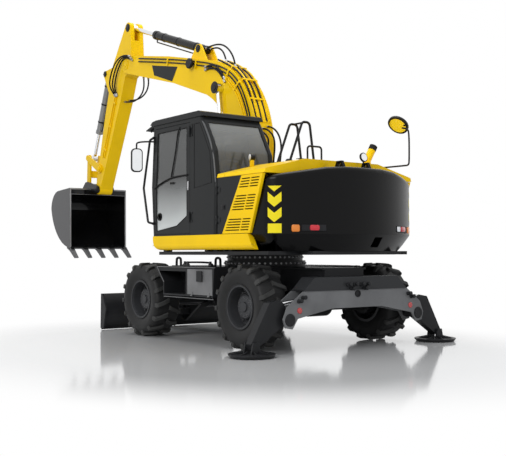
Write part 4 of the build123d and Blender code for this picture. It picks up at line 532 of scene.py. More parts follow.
# Upper frame: the swing table above the ring, with the open well behind the boom's foot
# where its hoses go down to a cast manifold bolted to the deck. The engine stands behind.
manifold = [block((-0.50, -0.28), (-0.14, 0.15), (1.2155, 1.2375))]
for x in (-0.475, -0.305):
    for y in (-0.11, 0.12):
        manifold += bolt_head((x, y, 1.2375), (0, 0, 1), 0.020, 0.014)
cast_grey = sprayed("cast block", (0.10, 0.10, 0.105), 0.5, uneven=0.3, peel=0.3, metallic=0.4)
made("hose_manifold", manifold, cast_grey, "upper", rounded=0.004)
wear(sprayed("engine casing", (0.09, 0.09, 0.10), 0.55, uneven=0.35, peel=0.4, metallic=0.3), "engine_block")

# Panels in machine yellow: pressed steel skirts, covers and housings, sprayed and
# lacquered, so they shine softly and their edges catch the light.
YELLOW = (0.90, 0.575, 0.003)
machine_yellow = sprayed("machine yellow", YELLOW, 0.30, coat=0.06, uneven=0.05)
wear(machine_yellow, "side_skirts", "bay_cover", "engine_hood", "right_housings", "boom", "arm")

# Service doors: steel panels, dark ahead and yellow behind a slanting line. Folded
# black blades stand in their slots, and a flush black latch holds them.
CHARCOAL = (0.016, 0.017, 0.0175)
DOOR_LOW = 1.436
DOOR_TALL = 0.708
LINE_SLOPE = 0.585
LINE_FOOT = -0.755
BLADE_PITCH = 0.033
SLOT_END = 0.165
charcoal = sprayed("charcoal lacquer", CHARCOAL, 0.30, coat=0.05, uneven=0.10)
two_tone = sprayed("yellow and charcoal door", YELLOW, 0.30, coat=0.06, uneven=0.05)
tree, shader, axes, tone = paint_of(two_tone)
slope = add(tree, "Math", {0: axes["Z"], 1: LINE_SLOPE, 2: axes["X"]}, operation="MULTIPLY_ADD")
behind = add(tree, "Math", {0: slope.outputs[0], 1: SLEWING_X + LINE_FOOT + LINE_SLOPE * DOOR_LOW},
             operation="LESS_THAN")
dark_front = add(tree, "MixRGB", {"Fac": behind.outputs[0], "Color1": (*CHARCOAL, 1), "Color2": tone})
fill(tree, shader, {"Base Color": dark_front.outputs["Color"]})
for label, side in SIDES:
    wear(two_tone, f"service_door_{label}")
    blades = []
    for lowest, many in ((1.470, 5), (1.722, 6), (1.995, 4)):
        for count in range(many):
            z = lowest + count * BLADE_PITCH
            rise = (z - DOOR_LOW) / DOOR_TALL
            rear = -1.293 - rise * 0.259
            front = -0.800 - rise * 0.400
            parting = min(rear + SLOT_END, front - 0.170)
            for tail, nose in ((rear - 0.004, parting + 0.004), (parting + 0.018, front + 0.004)):
                blades.append(prism([(tail, side * 1.232, z - 0.003), (nose, side * 1.232, z - 0.003),
                                     (nose, side * 1.257, z + 0.013), (tail, side * 1.257, z + 0.013)],
                                    (0, 0, 0.002)))
    made(f"louvre_blades_{label}", blades, barrel_black, f"service_door_{label}")
    latch = block((-0.82, -0.75), (side * 1.259, side * 1.267), (1.735, 1.800))
    paddle = prism([(-0.808, side * 1.266, 1.748), (-0.762, side * 1.266, 1.748), (-0.762, side * 1.270, 1.788),
                    (-0.808, side * 1.270, 1.788)], (0, side * 0.005, 0))
    made(f"door_latch_{label}", [latch, paddle], barrel_black, f"service_door_{label}", rounded=0.003)

# Counterweight: one casting lacquered gloss black, with yellow arrows that point down
# and a blank plate stuck on each rounded corner, and lamps let into its back.
wear(sprayed("gloss black lacquer", (0.0022, 0.0022, 0.0025), 0.24, coat=0.10, uneven=0.15, peel=0.012),
     "counterweight")
casting_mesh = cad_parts["counterweight"].data
casting = BVHTree.FromPolygons([v.co - place(0, 0, 0) for v in casting_mesh.vertices],
                               [tuple(p.vertices) for p in casting_mesh.polygons])
FILM_LIFT = 0.0015
FILM_FRONT = 126
FILM_REAR = 160
FILM_COLUMNS = 16
ARROW_COUNT = 3
ARROW_TOP = 1.990
ARROW_TIP = 2.101
ARROW_PITCH = 0.182
ARROW_THICK = 0.111
ARROW_DROP = 0.068


def on_casting(side, bearing, z):
    """A point on the casting's skin, at a height and at a bearing from a post inside its corner."""
    way = Vector((math.cos(math.radians(bearing)), side * math.sin(math.radians(bearing)), 0))
    return casting.ray_cast(Vector((-1.45, side * 0.98, z)) + way, -way)[0] + way * FILM_LIFT


def film(side, heights):
    """A film round the casting's corner: heights are its low and high edge at each step across."""
    verts = []
    for column, (low, high) in enumerate(heights):
        bearing = FILM_FRONT + (FILM_REAR - FILM_FRONT) * column / FILM_COLUMNS
        verts += [on_casting(side, bearing, low), on_casting(side, bearing, high)]
    return verts, [(2 * c, 2 * c + 2, 2 * c + 3, 2 * c + 1) for c in range(FILM_COLUMNS)]


film_yellow = sprayed("yellow film", (0.80, 0.66, 0.010), 0.28, coat=0.3, uneven=0.04)
drops = [ARROW_DROP * (1 - abs(2 * column / FILM_COLUMNS - 1)) for column in range(FILM_COLUMNS + 1)]
for label, side in SIDES:
    films = []
    for count in range(ARROW_COUNT):
        tip = ARROW_TIP - count * ARROW_PITCH
        films.append(film(side, [(min(ARROW_TOP - 0.001, tip - ARROW_THICK - drop), min(ARROW_TOP, tip - drop))
                                 for drop in drops]))
    films.append(film(side, [(1.430, 1.542)] * (FILM_COLUMNS + 1)))
    made(f"corner_arrows_{label}", films, film_yellow, "upper", smooth=True)
wear(sprayed("lamp housing", (0.02, 0.02, 0.022), 0.4, uneven=0.2), "lamps")
TAIL_R = 2.070


def embossed(material, kind, sockets, height, strength, deep):
    """Presses a pattern into a sprayed material's surface."""
    tree = material.node_tree
    pattern = add(tree, kind, {"Vector": add(tree, "TexCoord", {}).outputs["Object"], **sockets})
    bump = add(tree, "Bump", {"Strength": strength, "Distance": deep, "Height": pattern.outputs[height]})
    fill(tree, tree.nodes["Principled BSDF"], {"Normal": bump.outputs["Normal"]})
    return material


amber, red_lens, clear_lens = (
    embossed(sprayed(name, colour, 0.10, coat=1.0, uneven=0.35, peel=0.0), "TexVoronoi", {"Scale": 55}, "Distance",
             0.5, 0.003)
    for name, colour in (("amber lens", (0.85, 0.24, 0.02)), ("red lens", (0.60, 0.015, 0.03)),
                         ("clear lens", (0.75, 0.76, 0.78))))
LAMP_CORNERS = ((-1, -0.6), (-0.8, -1), (0.8, -1), (1, -0.6), (1, 0.6), (0.8, 1), (-0.8, 1), (-1, 0.6))
# columns: name, place across the tail, height of its middle, half width, half height, material
for name, y, z, half_wide, half_tall, material in (
        ("amber_lamp_left", 0.955, 1.486, 0.050, 0.042, amber),
        ("red_lamp_left", 0.740, 1.493, 0.060, 0.033, red_lens),
        ("clear_lamp_right", -0.645, 1.493, 0.040, 0.033, clear_lens),
        ("red_lamp_right", -0.765, 1.493, 0.070, 0.033, red_lens),
        ("amber_lamp_right", -0.955, 1.486, 0.050, 0.042, amber)):
    turn = math.asin(y / TAIL_R)
    out = Vector((-math.cos(turn), math.sin(turn), 0))
    beside = Vector((-out.y, out.x, 0))
    middle = Vector((0, 0, z)) + out * (TAIL_R - 0.012)
    corners = [middle + beside * half_wide * a + Vector((0, 0, half_tall * b)) for a, b in LAMP_CORNERS]
    made(name, [prism(corners, out * 0.018)], material, "upper", smooth=True, rounded=0.006)

# Covers' fittings: a lamp on a short yellow post on the bay cover, flush catches on the
# hood's edge, black steel rails that guard the walk on top, and the yellow exhaust stack.
POST_X = -0.71
POST_Y = 0.756
POST_HALF = 0.022
LAMP_AT = (POST_X, POST_Y, 2.435)
made("lamp_post", [block((POST_X - POST_HALF, POST_X + POST_HALF), (POST_Y - POST_HALF, POST_Y + POST_HALF),
                         (2.315, 2.400))], machine_yellow, "upper", rounded=0.004)
for name, profile, material, slot in (
        ("shell", ((0.020, -0.045), (0.038, -0.036), (0.042, 0.0), (0.042, 0.030)), barrel_black, "charcoal"),
        ("face", ((0.042, 0.030), (0.038, 0.038), (0.016, 0.042)), clear_lens, "lamp_red")):
    made(f"post_lamp_{name}", [turned(profile, LAMP_AT, (0.3, 1, 0))], material, "upper", smooth=True)
rail_black = sprayed("black rail paint", (0.012, 0.012, 0.013), 0.32, coat=0.15, uneven=0.2)
wear(rail_black, "hood_rails", "handrails")
made("hood_catches", [block((-1.56, -1.50), (y - 0.05, y + 0.05), (2.352, 2.358)) for y in (-0.62, 0.62)], rail_black,
     "hood", rounded=0.003)
wear(machine_yellow, "exhaust")
grip_black = sprayed("dull black", (0.02, 0.02, 0.02), 0.75, uneven=0.3, peel=0.8)
tail_pipe = turned([(0.0515, -0.070), (0.0550, -0.068), (0.0550, 0.002), (0.0470, 0.002), (0.0470, -0.004),
                    (0.0010, -0.004)], (-1.20, -0.960, 2.650), (0, -0.526, 0.850), 40)
made("tail_pipe_end", [tail_pipe], grip_black, "upper")

# Right-hand housings: fuel tank and steps of folded plate in machine yellow, with a
# locking filler cap, a hinged box door and black grip strips to stand on.
grips = []
for x0, x1, z in ((0.20, 0.58, 1.790), (0.63, 0.92, 1.570)):
    for row in range(7):
        y = -1.20 + row * 0.11
        grips.append(block((x0, x1), (y, y + 0.06), (z, z + 0.004)))
made("step_grip_strips", grips, grip_black, "upper", rounded=0.001)
filler = turned([(0.075, 0.0), (0.075, 0.02), (0.062, 0.022), (0.062, 0.05), (0.055, 0.056)],
                (-0.30, -0.75, 2.138), (0, 0, 1))
made("filler_cap", [filler], rail_black, "upper", rounded=0.002)
for name, x0, x1, z0, z1 in (("tank_door", -0.56, 0.12, 1.47, 2.06), ("step_door", 0.24, 0.56, 1.47, 1.74)):
    made(name, [block((x0, x1), (-1.2640, -1.2600), (z0, z1))], machine_yellow, "upper",
         rounded=0.003)
    handle = block((x1 - 0.10, x1 - 0.04), (-1.2695, -1.2635), (z0 + 0.18, z0 + 0.24))
    made(f"{name}_latch", [handle], rail_black, "upper", rounded=0.003)

# Cab: a welded shell in charcoal lacquer, with smoked glass held in black rubber, and a
# door on two hinges with a sliding pane, a round vent and a bright grab latch.
wear(charcoal, "cab_frame", "cab_door", "cab_roof")


def glass_tint_with_painted_reflection(name, alpha, stops):
    """Tinted window glass whose tone changes with height, the lighter tones a painted reflection of the studio's
    light: stops are (metres, tone) from low to high.
    """
    material, tree, pane = blank(name, {"Roughness": 0.04, "IOR": 1.5, "Specular IOR Level": 0.6, "Alpha": alpha})
    where = add(tree, "TexCoord", {}).outputs["Object"]
    haze = add(tree, "TexNoise", {"Vector": where, "Scale": 1.6})
    height = add(tree, "SeparateXYZ", {0: where}).outputs["Z"]
    wander = add(tree, "Math", {0: haze.outputs["Fac"], 1: 0.16, 2: height}, operation="MULTIPLY_ADD")
    lowest, highest = stops[0][0], stops[-1][0]
    spread = add(tree, "MapRange", {"Value": wander.outputs[0], "From Min": lowest + 0.08,
                                    "From Max": highest + 0.08})
    tones = add(tree, "ValToRGB", {"Fac": spread.outputs["Result"]})
    elements = tones.color_ramp.elements
    for count, (metres, tone) in enumerate(stops):
        share = (metres - lowest) / (highest - lowest)
        stop = elements[count] if count < 2 else elements.new(share)
        stop.position = share
        stop.color = (tone * 0.96, tone, tone * 0.99, 1)
    fill(tree, pane, {"Base Color": tones.outputs["Color"]})
    return material


# The smoked glass is lighter towards its top and the door glass towards its foot: painted reflection of the studio
# and painted light seen through the panes, on top of their tint.
wear(glass_tint_with_painted_reflection("smoked glass", 0.62, ((2.10, 0.075), (2.45, 0.10), (2.90, 0.30))), "cab_glass")
wear(glass_tint_with_painted_reflection("door glass", 0.78, ((1.55, 0.72), (1.80, 0.42), (2.10, 0.13), (2.22, 0.060), (2.90, 0.075))),
     "door_glass")
seal_rubber = sprayed("black window rubber", (0.012, 0.012, 0.012), 0.55, uneven=0.2, peel=0.1)
bright_steel = sprayed("zinc-plated steel", (0.42, 0.42, 0.43), 0.32, uneven=0.2, metallic=1.0)
# A lighter grey strip down the rear pillar's rounded edge is a painted highlight where the curve catches the light.
pillar_highlight_grey = sprayed("rear pillar highlight strip", (0.10, 0.102, 0.105), 0.30, coat=0.2, uneven=0.1)
SIDE_GLASS_Y = 1.256
DOOR_SKIN_Y = 1.2485
FRAME_SKIN_Y = 1.2595
DOOR_PANE = ((0.070, 1.690), (0.330, 1.560), (0.850, 1.500), (0.868, 2.120), (0.822, 2.870), (0.070, 2.870))
QUARTER_PANE = ((-0.110, 2.050), (-0.110, 2.900), (-0.245, 2.900), (-0.478, 2.500), (-0.520, 2.100))
REAR_PANE = ((-0.602, 2.092), (-0.544, 2.512), (-0.322, 2.898))
WINDSCREEN = ((0.934, 1.562), (0.974, 2.120), (0.920, 2.898))


def seal(name, corners, body):
    """A round rubber bead closed round a window's edge."""
    curve, bead = curve_through(name, "POLY", corners)
    curve.bevel_depth = 0.008
    curve.bevel_resolution = 3
    bead.use_cyclic_u = True
    fitted(name, curve, seal_rubber, body)


made("quarter_film", [prism(at_y(SIDE_GLASS_Y + 0.0005, QUARTER_PANE), (0, 0.002, 0))], charcoal, "upper")
seal("door_seal", at_y(SIDE_GLASS_Y, DOOR_PANE), "cab_door")
seal("quarter_seal", at_y(SIDE_GLASS_Y, QUARTER_PANE), "upper")
seal("rear_seal", at_y(0.360, REAR_PANE) + at_y(1.185, reversed(REAR_PANE)), "upper")
seal("windscreen_seal", at_y(0.355, WINDSCREEN) + at_y(1.190, reversed(WINDSCREEN)), "upper")
# columns: name, route of a rubber or steel strip along the cab, its radius, material, body
for name, route, radius, material, body in (
        ("door_transom", at_y(1.262, ((0.905, 2.100), (0.761, 2.159), (0.494, 2.222), (0.250, 2.236),
                                      (0.040, 2.236))), 0.012, seal_rubber, "cab_door"),
        ("sliding_pane_edge", at_y(1.260, ((0.237, 2.895), (0.300, 2.84), (0.339, 2.60), (0.468, 2.228))),
         0.009, seal_rubber, "cab_door"),
        ("rear_pillar_highlight", at_y(1.2475, ((-0.270, 2.935), (-0.325, 2.895), (-0.535, 2.53), (-0.585, 2.20),
                                      (-0.595, 2.10))), 0.011, pillar_highlight_grey, "upper"),
        ("wiper_arm", ((0.955, 0.66, 1.60), (0.990, 0.68, 1.90), (0.996, 0.74, 2.30), (0.985, 0.82, 2.55)),
         0.008, seal_rubber, "upper"),
        ("wiper_blade", ((0.984, 0.76, 2.14), (0.990, 0.80, 2.40), (0.958, 0.84, 2.72)),
         0.007, seal_rubber, "upper")):
    bent_bar(name, route, radius, material, body)
made("door_catch", [block((0.018, 0.052), (FRAME_SKIN_Y, FRAME_SKIN_Y + 0.012), (2.03, 2.15))], bright_steel,
     "cab_door", rounded=0.005)
made("sliding_pane_pull", [block((0.40, 0.49), (DOOR_SKIN_Y, DOOR_SKIN_Y + 0.018), (2.135, 2.165))], seal_rubber,
     "cab_door", rounded=0.005)
vent = turned([(0.034, 0.0), (0.036, 0.010), (0.046, 0.014), (0.054, 0.010), (0.056, 0.0)],
              (0.780, DOOR_SKIN_Y, 1.700), (0, 1, 0), 40)
made("round_vent", [vent], seal_rubber, "cab_door", smooth=True)
made("pillar_vent", [block((-0.083, -0.055), (FRAME_SKIN_Y, FRAME_SKIN_Y + 0.002), (2.743, 2.903))], seal_rubber,
     "upper")

# Operator's seat: foam cushions in grey woven cloth, piped round their edges, bolted to
# a moulded base that stands on the cab floor.
seat_cloth = sprayed("grey seat cloth", (0.055, 0.057, 0.062), 0.85, uneven=0.25, peel=0.0)
embossed(seat_cloth, "TexWave", {"Scale": 190, "Distortion": 1.5}, "Fac", 0.4, 0.002)
seat_cloth.node_tree.nodes["Principled BSDF"].inputs["Sheen Weight"].default_value = 0.4
moulded = sprayed("moulded console plastic", (0.035, 0.036, 0.038), 0.5, uneven=0.12, peel=0.5)
SEAT_Y = 0.7725
ROUNDNESS = 5


def cushion(name, middle, half, lean):
    """A crowned foam cushion: half is half its length, width and thickness, and lean tips it back, in degrees."""
    mesh = bpy.data.meshes.new(name)
    work = bmesh.new()
    bmesh.ops.create_cube(work, size=2)
    bmesh.ops.subdivide_edges(work, edges=work.edges, cuts=15, use_grid_fill=True)
    tip = Matrix.Rotation(math.radians(lean), 3, "Y")
    for vert in work.verts:
        u, v, w = vert.co
        pull = (abs(u) ** ROUNDNESS + abs(v) ** ROUNDNESS + abs(w) ** ROUNDNESS) ** (-1 / ROUNDNESS)
        u, v, w = u * pull, v * pull, w * pull
        crown = 0.72 + 0.28 * (1 - u * u) * (1 - v * v)
        channel = 1 - 0.10 * math.exp(-((abs(v) - 0.62) / 0.05) ** 2)
        shape = Vector((u * half[0] * (1 - 0.04 * (1 - v * v)), v * half[1] * (1 - 0.04 * (1 - u * u)),
                        w * half[2] * crown * channel))
        vert.co = place(*middle) + tip @ shape
    work.to_mesh(mesh)
    work.free()
    mesh.polygons.foreach_set("use_smooth", [True] * len(mesh.polygons))
    fitted(name, mesh, seat_cloth, "upper", "seat")


cushion("seat_cushion", (0.04, SEAT_Y, 1.815), (0.26, 0.25, 0.075), 0)
cushion("seat_back", (-0.250, SEAT_Y, 2.140), (0.31, 0.24, 0.070), -76)
cushion("headrest", (-0.335, SEAT_Y, 2.530), (0.11, 0.14, 0.050), -79)
seat_foot = at_y(SEAT_Y - 0.20, ((-0.18, 1.482), (0.26, 1.482), (0.26, 1.56), (0.20, 1.742), (-0.14, 1.742)))
made("seat_base", [prism(seat_foot, (0, 0.40, 0))], moulded, "upper", rounded=0.012,
     instead_of="seat")

# Controls: armrest consoles with a lever each, the steering column with its wheel, and
# a pair of pedals, all moulded black plastic on steel.
WHEEL_GRIP_R = 0.174
GRIP_HALF = 0.015
GRIP_STEPS = 48
GRIP_SIDES = 12
CROSSWAYS = Vector((0, 1, 0))
wheel_middle = Vector((0.555, SEAT_Y, 2.060))
column_way = Vector((0.16, 0, -0.47)).normalized()
ARMREST = ((-0.12, 1.66), (0.24, 1.66), (0.33, 1.78), (0.33, 1.93), (0.26, 1.958), (-0.12, 1.958))
LEVER = ((0.030, -0.005), (0.020, 0.02), (0.009, 0.03), (0.009, 0.09), (0.020, 0.10), (0.021, 0.15), (0.012, 0.165))
consoles = []
for y in (SEAT_Y - 0.390, SEAT_Y + 0.280):
    consoles.append(prism(at_y(y, ARMREST), (0, 0.11, 0)))
    consoles.append(block((-0.10, 0.0), (y + 0.02, y + 0.09), (1.482, 1.66)))
    consoles.append(turned(LEVER, (0.272, y + 0.055, 1.952), (0.12, 0, 1), 20))
made("armrest_consoles", consoles, moulded, "upper", rounded=0.006, instead_of="controls")
column = [turned([(0.055, 0.0), (0.05, 0.05), (0.036, 0.08), (0.036, 0.50), (0.055, 0.56), (0.050, 0.585)],
                 (0.720, SEAT_Y, 1.500), -column_way, 24)]
spoke_across = column_way.cross(CROSSWAYS).normalized()
for turn in (90, 210, 330):
    reach = spoke_across * math.cos(math.radians(turn)) + CROSSWAYS * math.sin(math.radians(turn))
    beside = reach.cross(column_way) * 0.012
    spoke_end = wheel_middle + reach * 0.172
    column.append(prism([wheel_middle - beside, wheel_middle + beside, spoke_end + beside, spoke_end - beside],
                        column_way * 0.010))
for y in (SEAT_Y - 0.09, SEAT_Y + 0.09):
    column.append(prism([(0.68, y - 0.04, 1.50), (0.68, y + 0.04, 1.50), (0.79, y + 0.04, 1.60),
                         (0.79, y - 0.04, 1.60)], (-0.006, 0, 0.008)))
made("steering_column", column, moulded, "upper", rounded=0.003, instead_of="controls")
grip = []
for step in range(GRIP_STEPS):
    turn = 2 * math.pi * step / GRIP_STEPS
    reach = spoke_across * math.cos(turn) + CROSSWAYS * math.sin(turn)
    for side_step in range(GRIP_SIDES):
        roll = 2 * math.pi * side_step / GRIP_SIDES
        grip.append(wheel_middle + reach * (WHEEL_GRIP_R + GRIP_HALF * math.cos(roll))
                    + column_way * GRIP_HALF * math.sin(roll))
made("steering_wheel_rim", [(grip, wrapped(GRIP_STEPS, GRIP_SIDES, closed=True))], seal_rubber, "upper",
     smooth=True, instead_of="controls")

# Mirrors: convex silvered glass set in black moulded shells, turned to look back along
# the machine, each clamped on an arm of bent steel rod.
silver, tree, mirror_shader = blank("silvered glass", {"Metallic": 1.0, "Roughness": 0.05})
haze = add(tree, "TexNoise", {"Vector": add(tree, "TexCoord", {}).outputs["Object"], "Scale": 6})
fill(tree, mirror_shader, {"Base Color": ramp(tree, haze.outputs["Fac"], ((0.74, 0.76, 0.78), (0.90, 0.91, 0.92)))})
CORNER_STEPS = 6
GLASS_SHARE = 0.80


def rounded_outline(half_wide, half_tall, corner):
    """A rectangle with round corners, as (across, up) places."""
    outline = []
    for start, way_across, way_up in ((0, 1, 1), (90, -1, 1), (180, -1, -1), (270, 1, -1)):
        for step in range(CORNER_STEPS + 1):
            turn = math.radians(start + 90 * step / CORNER_STEPS)
            outline.append((way_across * (half_wide - corner) + corner * math.cos(turn),
                            way_up * (half_tall - corner) + corner * math.sin(turn)))
    return outline


# columns: name, middle, way it faces, half width, half height, corner radius, depth, arm's route, arm's radius
for name, middle, facing, half_wide, half_tall, corner, deep, route, radius in (
        ("left", (1.165, 1.400, 2.520), (-0.955, 0.296, 0.0), 0.085, 0.170, 0.060, 0.045,
         ((0.908, 1.268, 2.765), (1.00, 1.32, 2.775), (1.172, 1.40, 2.775), (1.182, 1.40, 2.73),
          (1.182, 1.40, 2.60)), 0.012),
        ("right", (1.055, -1.330, 2.540), (-0.955, -0.296, 0.0), 0.090, 0.160, 0.060, 0.045,
         ((0.905, -1.225, 1.572), (0.905, -1.225, 2.20), (0.920, -1.235, 2.34), (1.05, -1.32, 2.55),
          (1.072, -1.33, 2.64)), 0.012),
        ("round", (-1.360, -1.270, 2.945), (-0.11, 0.688, -0.72), 0.150, 0.150, 0.1499, 0.030,
         ((-0.700, -1.150, 2.235), (-0.700, -1.150, 2.32), (-0.730, -1.230, 2.392), (-0.80, -1.30, 2.392),
          (-1.45, -1.30, 2.386), (-1.53, -1.30, 2.386), (-1.54, -1.30, 2.46), (-1.54, -1.30, 2.84),
          (-1.51, -1.29, 2.89), (-1.43, -1.28, 2.905)), 0.012),
        ("small", (-1.712, -0.285, 2.415), (-1.0, 0.0, 0.2), 0.062, 0.062, 0.0619, 0.022,
         ((-1.700, -0.285, 2.272), (-1.700, -0.285, 2.33), (-1.694, -0.285, 2.41)), 0.010)):
    facing = Vector(facing).normalized()
    across = Vector((0, 0, 1)).cross(facing).normalized()
    up = facing.cross(across)
    shell = [Vector(middle) + across * a + up * b for a, b in rounded_outline(half_wide, half_tall, corner)]
    glass = [Vector(middle) + facing * 0.0005 + across * a + up * b
             for a, b in rounded_outline(half_wide * GLASS_SHARE, half_tall - half_wide * (1 - GLASS_SHARE),
                                         corner * GLASS_SHARE)]
    made(f"mirror_shell_{name}", [prism(shell, facing * -deep)], rail_black, "upper", rounded=0.010,
         instead_of="mirrors")
    made(f"mirror_glass_{name}", [prism(glass, facing * 0.003)], silver, "upper", instead_of="mirrors")
    bent_bar(f"mirror_arm_{name}", route, radius, rail_black, "upper", instead_of="mirrors")
made("mirror_bracket", [block((0.892, 0.924), (1.2605, 1.2725), (2.735, 2.795))], rail_black, "upper",
     rounded=0.002, instead_of="mirrors")

# Boom: a welded box beam in machine yellow. Steel pipes run up its flanks and its back in
# clamps, a bare dark panel is painted on each side, and a round work lamp hangs near the knee.
BOOM_HALF = 0.155
BOOM_EDGE = ((0.02, 2.75), (0.06, 3.05), (0.18, 3.38), (0.36, 3.68), (0.62, 3.90), (1.00, 4.06), (1.50, 4.19),
             (2.34, 4.375), (3.30, 4.555))
PIPE_R = 0.011
BACK_GAP = 0.027
pipe_black = sprayed("black pipe paint", (0.010, 0.010, 0.011), 0.34, coat=0.12, uneven=0.2)


def along_back(count):
    """The way along the boom's back edge at one of its points, as (x, z)."""
    before = BOOM_EDGE[max(count - 1, 0)]
    after = BOOM_EDGE[min(count + 1, len(BOOM_EDGE) - 1)]
    run = math.hypot(after[0] - before[0], after[1] - before[1])
    return (after[0] - before[0]) / run, (after[1] - before[1]) / run


def inside_edge(inset, last=len(BOOM_EDGE)):
    """The boom's back edge moved inward, up to a point of it, as (x, z) places."""
    ways = [along_back(count) for count in range(last)]
    return [(x + inset * way_z, z - inset * way_x) for (x, z), (way_x, way_z) in zip(BOOM_EDGE, ways)]


for label, side, pipes in (("left", 1, ((0.035, 9, pipe_black), (0.088, 9, pipe_black), (0.140, 5, machine_yellow),
                                        (0.180, 5, machine_yellow))),
                           ("right", -1, ((0.060, 9, machine_yellow), (0.110, 9, machine_yellow)))):
    for count, (inset, last, finish) in enumerate(pipes):
        bent_bar(f"boom_pipe_{label}_{count}", at_y(side * (BOOM_HALF + PIPE_R), inside_edge(inset, last)),
                 PIPE_R, finish, "boom")
    clamps = []
    out = Vector((0, side * 0.026, 0))
    for count in (1, 3, 4, 6, 7):
        start, end = (Vector((edge[0], side * BOOM_HALF, edge[1])) for edge in
                      (inside_edge(0.025)[count], inside_edge(0.195 if count < 5 and side > 0 else 0.130)[count]))
        way = (end - start).normalized()
        beside = Vector((-way.z, 0, way.x)) * 0.016
        clamps.append(prism([start - beside, start + beside, end + beside, end - beside], out))
        clamps += bolt_head((start + end) / 2 + out, out, 0.016, 0.010)
    made(f"boom_pipe_clamps_{label}", clamps, machine_yellow, "boom", rounded=0.003)
    panel = at_y(side * BOOM_HALF, ((2.883, 4.33), (2.075, 4.17), (2.24, 3.96), (2.81, 4.15)))
    made(f"boom_side_panel_{label}", [prism(panel, (0, side * 0.002, 0))], charcoal, "boom")
# columns: place across the back, first and last point of the back edge, finish
for count, (y, first, last, finish) in enumerate((
        (-0.06, 1, 6, pipe_black), (0.03, 1, 5, pipe_black), (0.12, 1, 6, pipe_black), (0.080, 1, 6, machine_yellow),
        (-0.105, 1, 6, machine_yellow))):
    bent_bar(f"back_pipe_{count}", at_y(y, inside_edge(-PIPE_R - BACK_GAP, last)[first:]), 0.013, finish, "boom")
clamps = []
for count in (1, 2, 3, 4):
    x, z = BOOM_EDGE[count]
    way_x, way_z = along_back(count)
    clamps.append(prism([(x + share * way_x, y, z + share * way_z) for y, share in
                         ((-0.125, -0.014), (0.140, -0.014), (0.140, 0.014), (-0.125, 0.014))],
                        (-way_z * 0.040, 0, way_x * 0.040)))
made("back_pipe_clamps", clamps, machine_yellow, "boom", rounded=0.003)
lamp_can = turned([(0.022, 0.0), (0.022, 0.030), (0.070, 0.042), (0.082, 0.060), (0.082, 0.085), (0.070, 0.095)],
                  (1.62, BOOM_HALF, 4.135), (0, 1, 0), 40)
made("work_lamp", [lamp_can], rail_black, "boom", rounded=0.004)


def pin_caps(name, x, z, reach, radius, finish, body):
    """A washer and bolted keeper on both ends of a pin: reach is how far out they lie."""
    shapes = []
    for side in (-1, 1):
        end = Vector((x, side * reach, z))
        shapes.append(turned([(radius, -0.001), (radius, 0.007), (radius * 0.9, 0.011)], end, (0, side, 0), 40))
        shapes.append(turned([(radius * 0.55, 0.010), (radius * 0.55, 0.016), (radius * 0.48, 0.019)], end,
                             (0, side, 0)))
        shapes += bolt_head(end + Vector((radius * 0.72, side * 0.009, 0)), (0, side, 0), 0.016, 0.010)
    made(name, shapes, finish, body, rounded=0.001)


pin_caps("arm_pin_caps", 3.78, 4.50, 0.155, 0.085, machine_yellow, "boom")
pin_caps("boom_cylinder_caps", 0.86, 3.64, 0.272, 0.090, rail_black, "boom_rods")
pin_caps("arm_cylinder_caps", 1.54, 4.37, 0.114, 0.060, rail_black, "boom")

# Arm and bucket gear: the tapered arm, the yellow rocker and link, and the bucket cylinder
# in grey paint, with two pipes down the arm's left side and caps on every pin.
ARM_HALF = 0.125
wear(machine_yellow, "rocker", "link")
wear(sprayed("grey cylinder paint", (0.24, 0.245, 0.25), 0.34, coat=0.3, uneven=0.12, metallic=0.3), "bucket_barrel")
pin_caps("rocker_pin_caps", 4.80, 2.74, 0.165, 0.048, machine_yellow, "arm")
pin_caps("bucket_pin_caps", 4.89, 2.37, 0.160, 0.060, rail_black, "arm")
pin_caps("arm_lever_caps", 3.77, 5.15, 0.125, 0.070, rail_black, "arm")
pin_caps("bucket_cylinder_caps", 4.66, 4.48, 0.107, 0.055, rail_black, "arm")
for name, route in (("front", ((4.22, 4.02), (4.27, 3.90), (4.45, 3.50), (4.70, 2.95))),
                    ("rear", ((4.17, 4.00), (4.22, 3.88), (4.39, 3.47), (4.64, 2.93)))):
    bent_bar(f"arm_pipe_{name}", at_y(ARM_HALF + PIPE_R, route), PIPE_R, machine_yellow, "arm")
CLAMP = ((-0.055, -0.026), (0.055, 0.014), (0.045, 0.040), (-0.065, 0))
clamps = [prism(at_y(ARM_HALF, [(x + ahead, z + above) for ahead, above in CLAMP]), (0, 0.026, 0))
          for x, z in ((4.245, 3.88), (4.42, 3.48), (4.60, 3.08))]
made("arm_pipe_clamps", clamps, machine_yellow, "arm", rounded=0.003)

# Bucket: welded plate in gloss black with grey sides, its cutting lip rubbed bright, bright strips
# along its mouth's edges as painted highlights, and a black band round the top of its mouth.
BUCKET_HALF = 0.580
MOUTH_HALF = 0.556
worn_steel_and_painted_highlight = sprayed("scuffed steel and painted highlight", (0.30, 0.30, 0.31), 0.34, uneven=0.35, metallic=0.8)
bucket_paint = sprayed("bucket black and grey", (0.005, 0.005, 0.0055), 0.22, coat=0.35, uneven=0.2)
tree, shader, axes, tone = paint_of(bucket_paint)
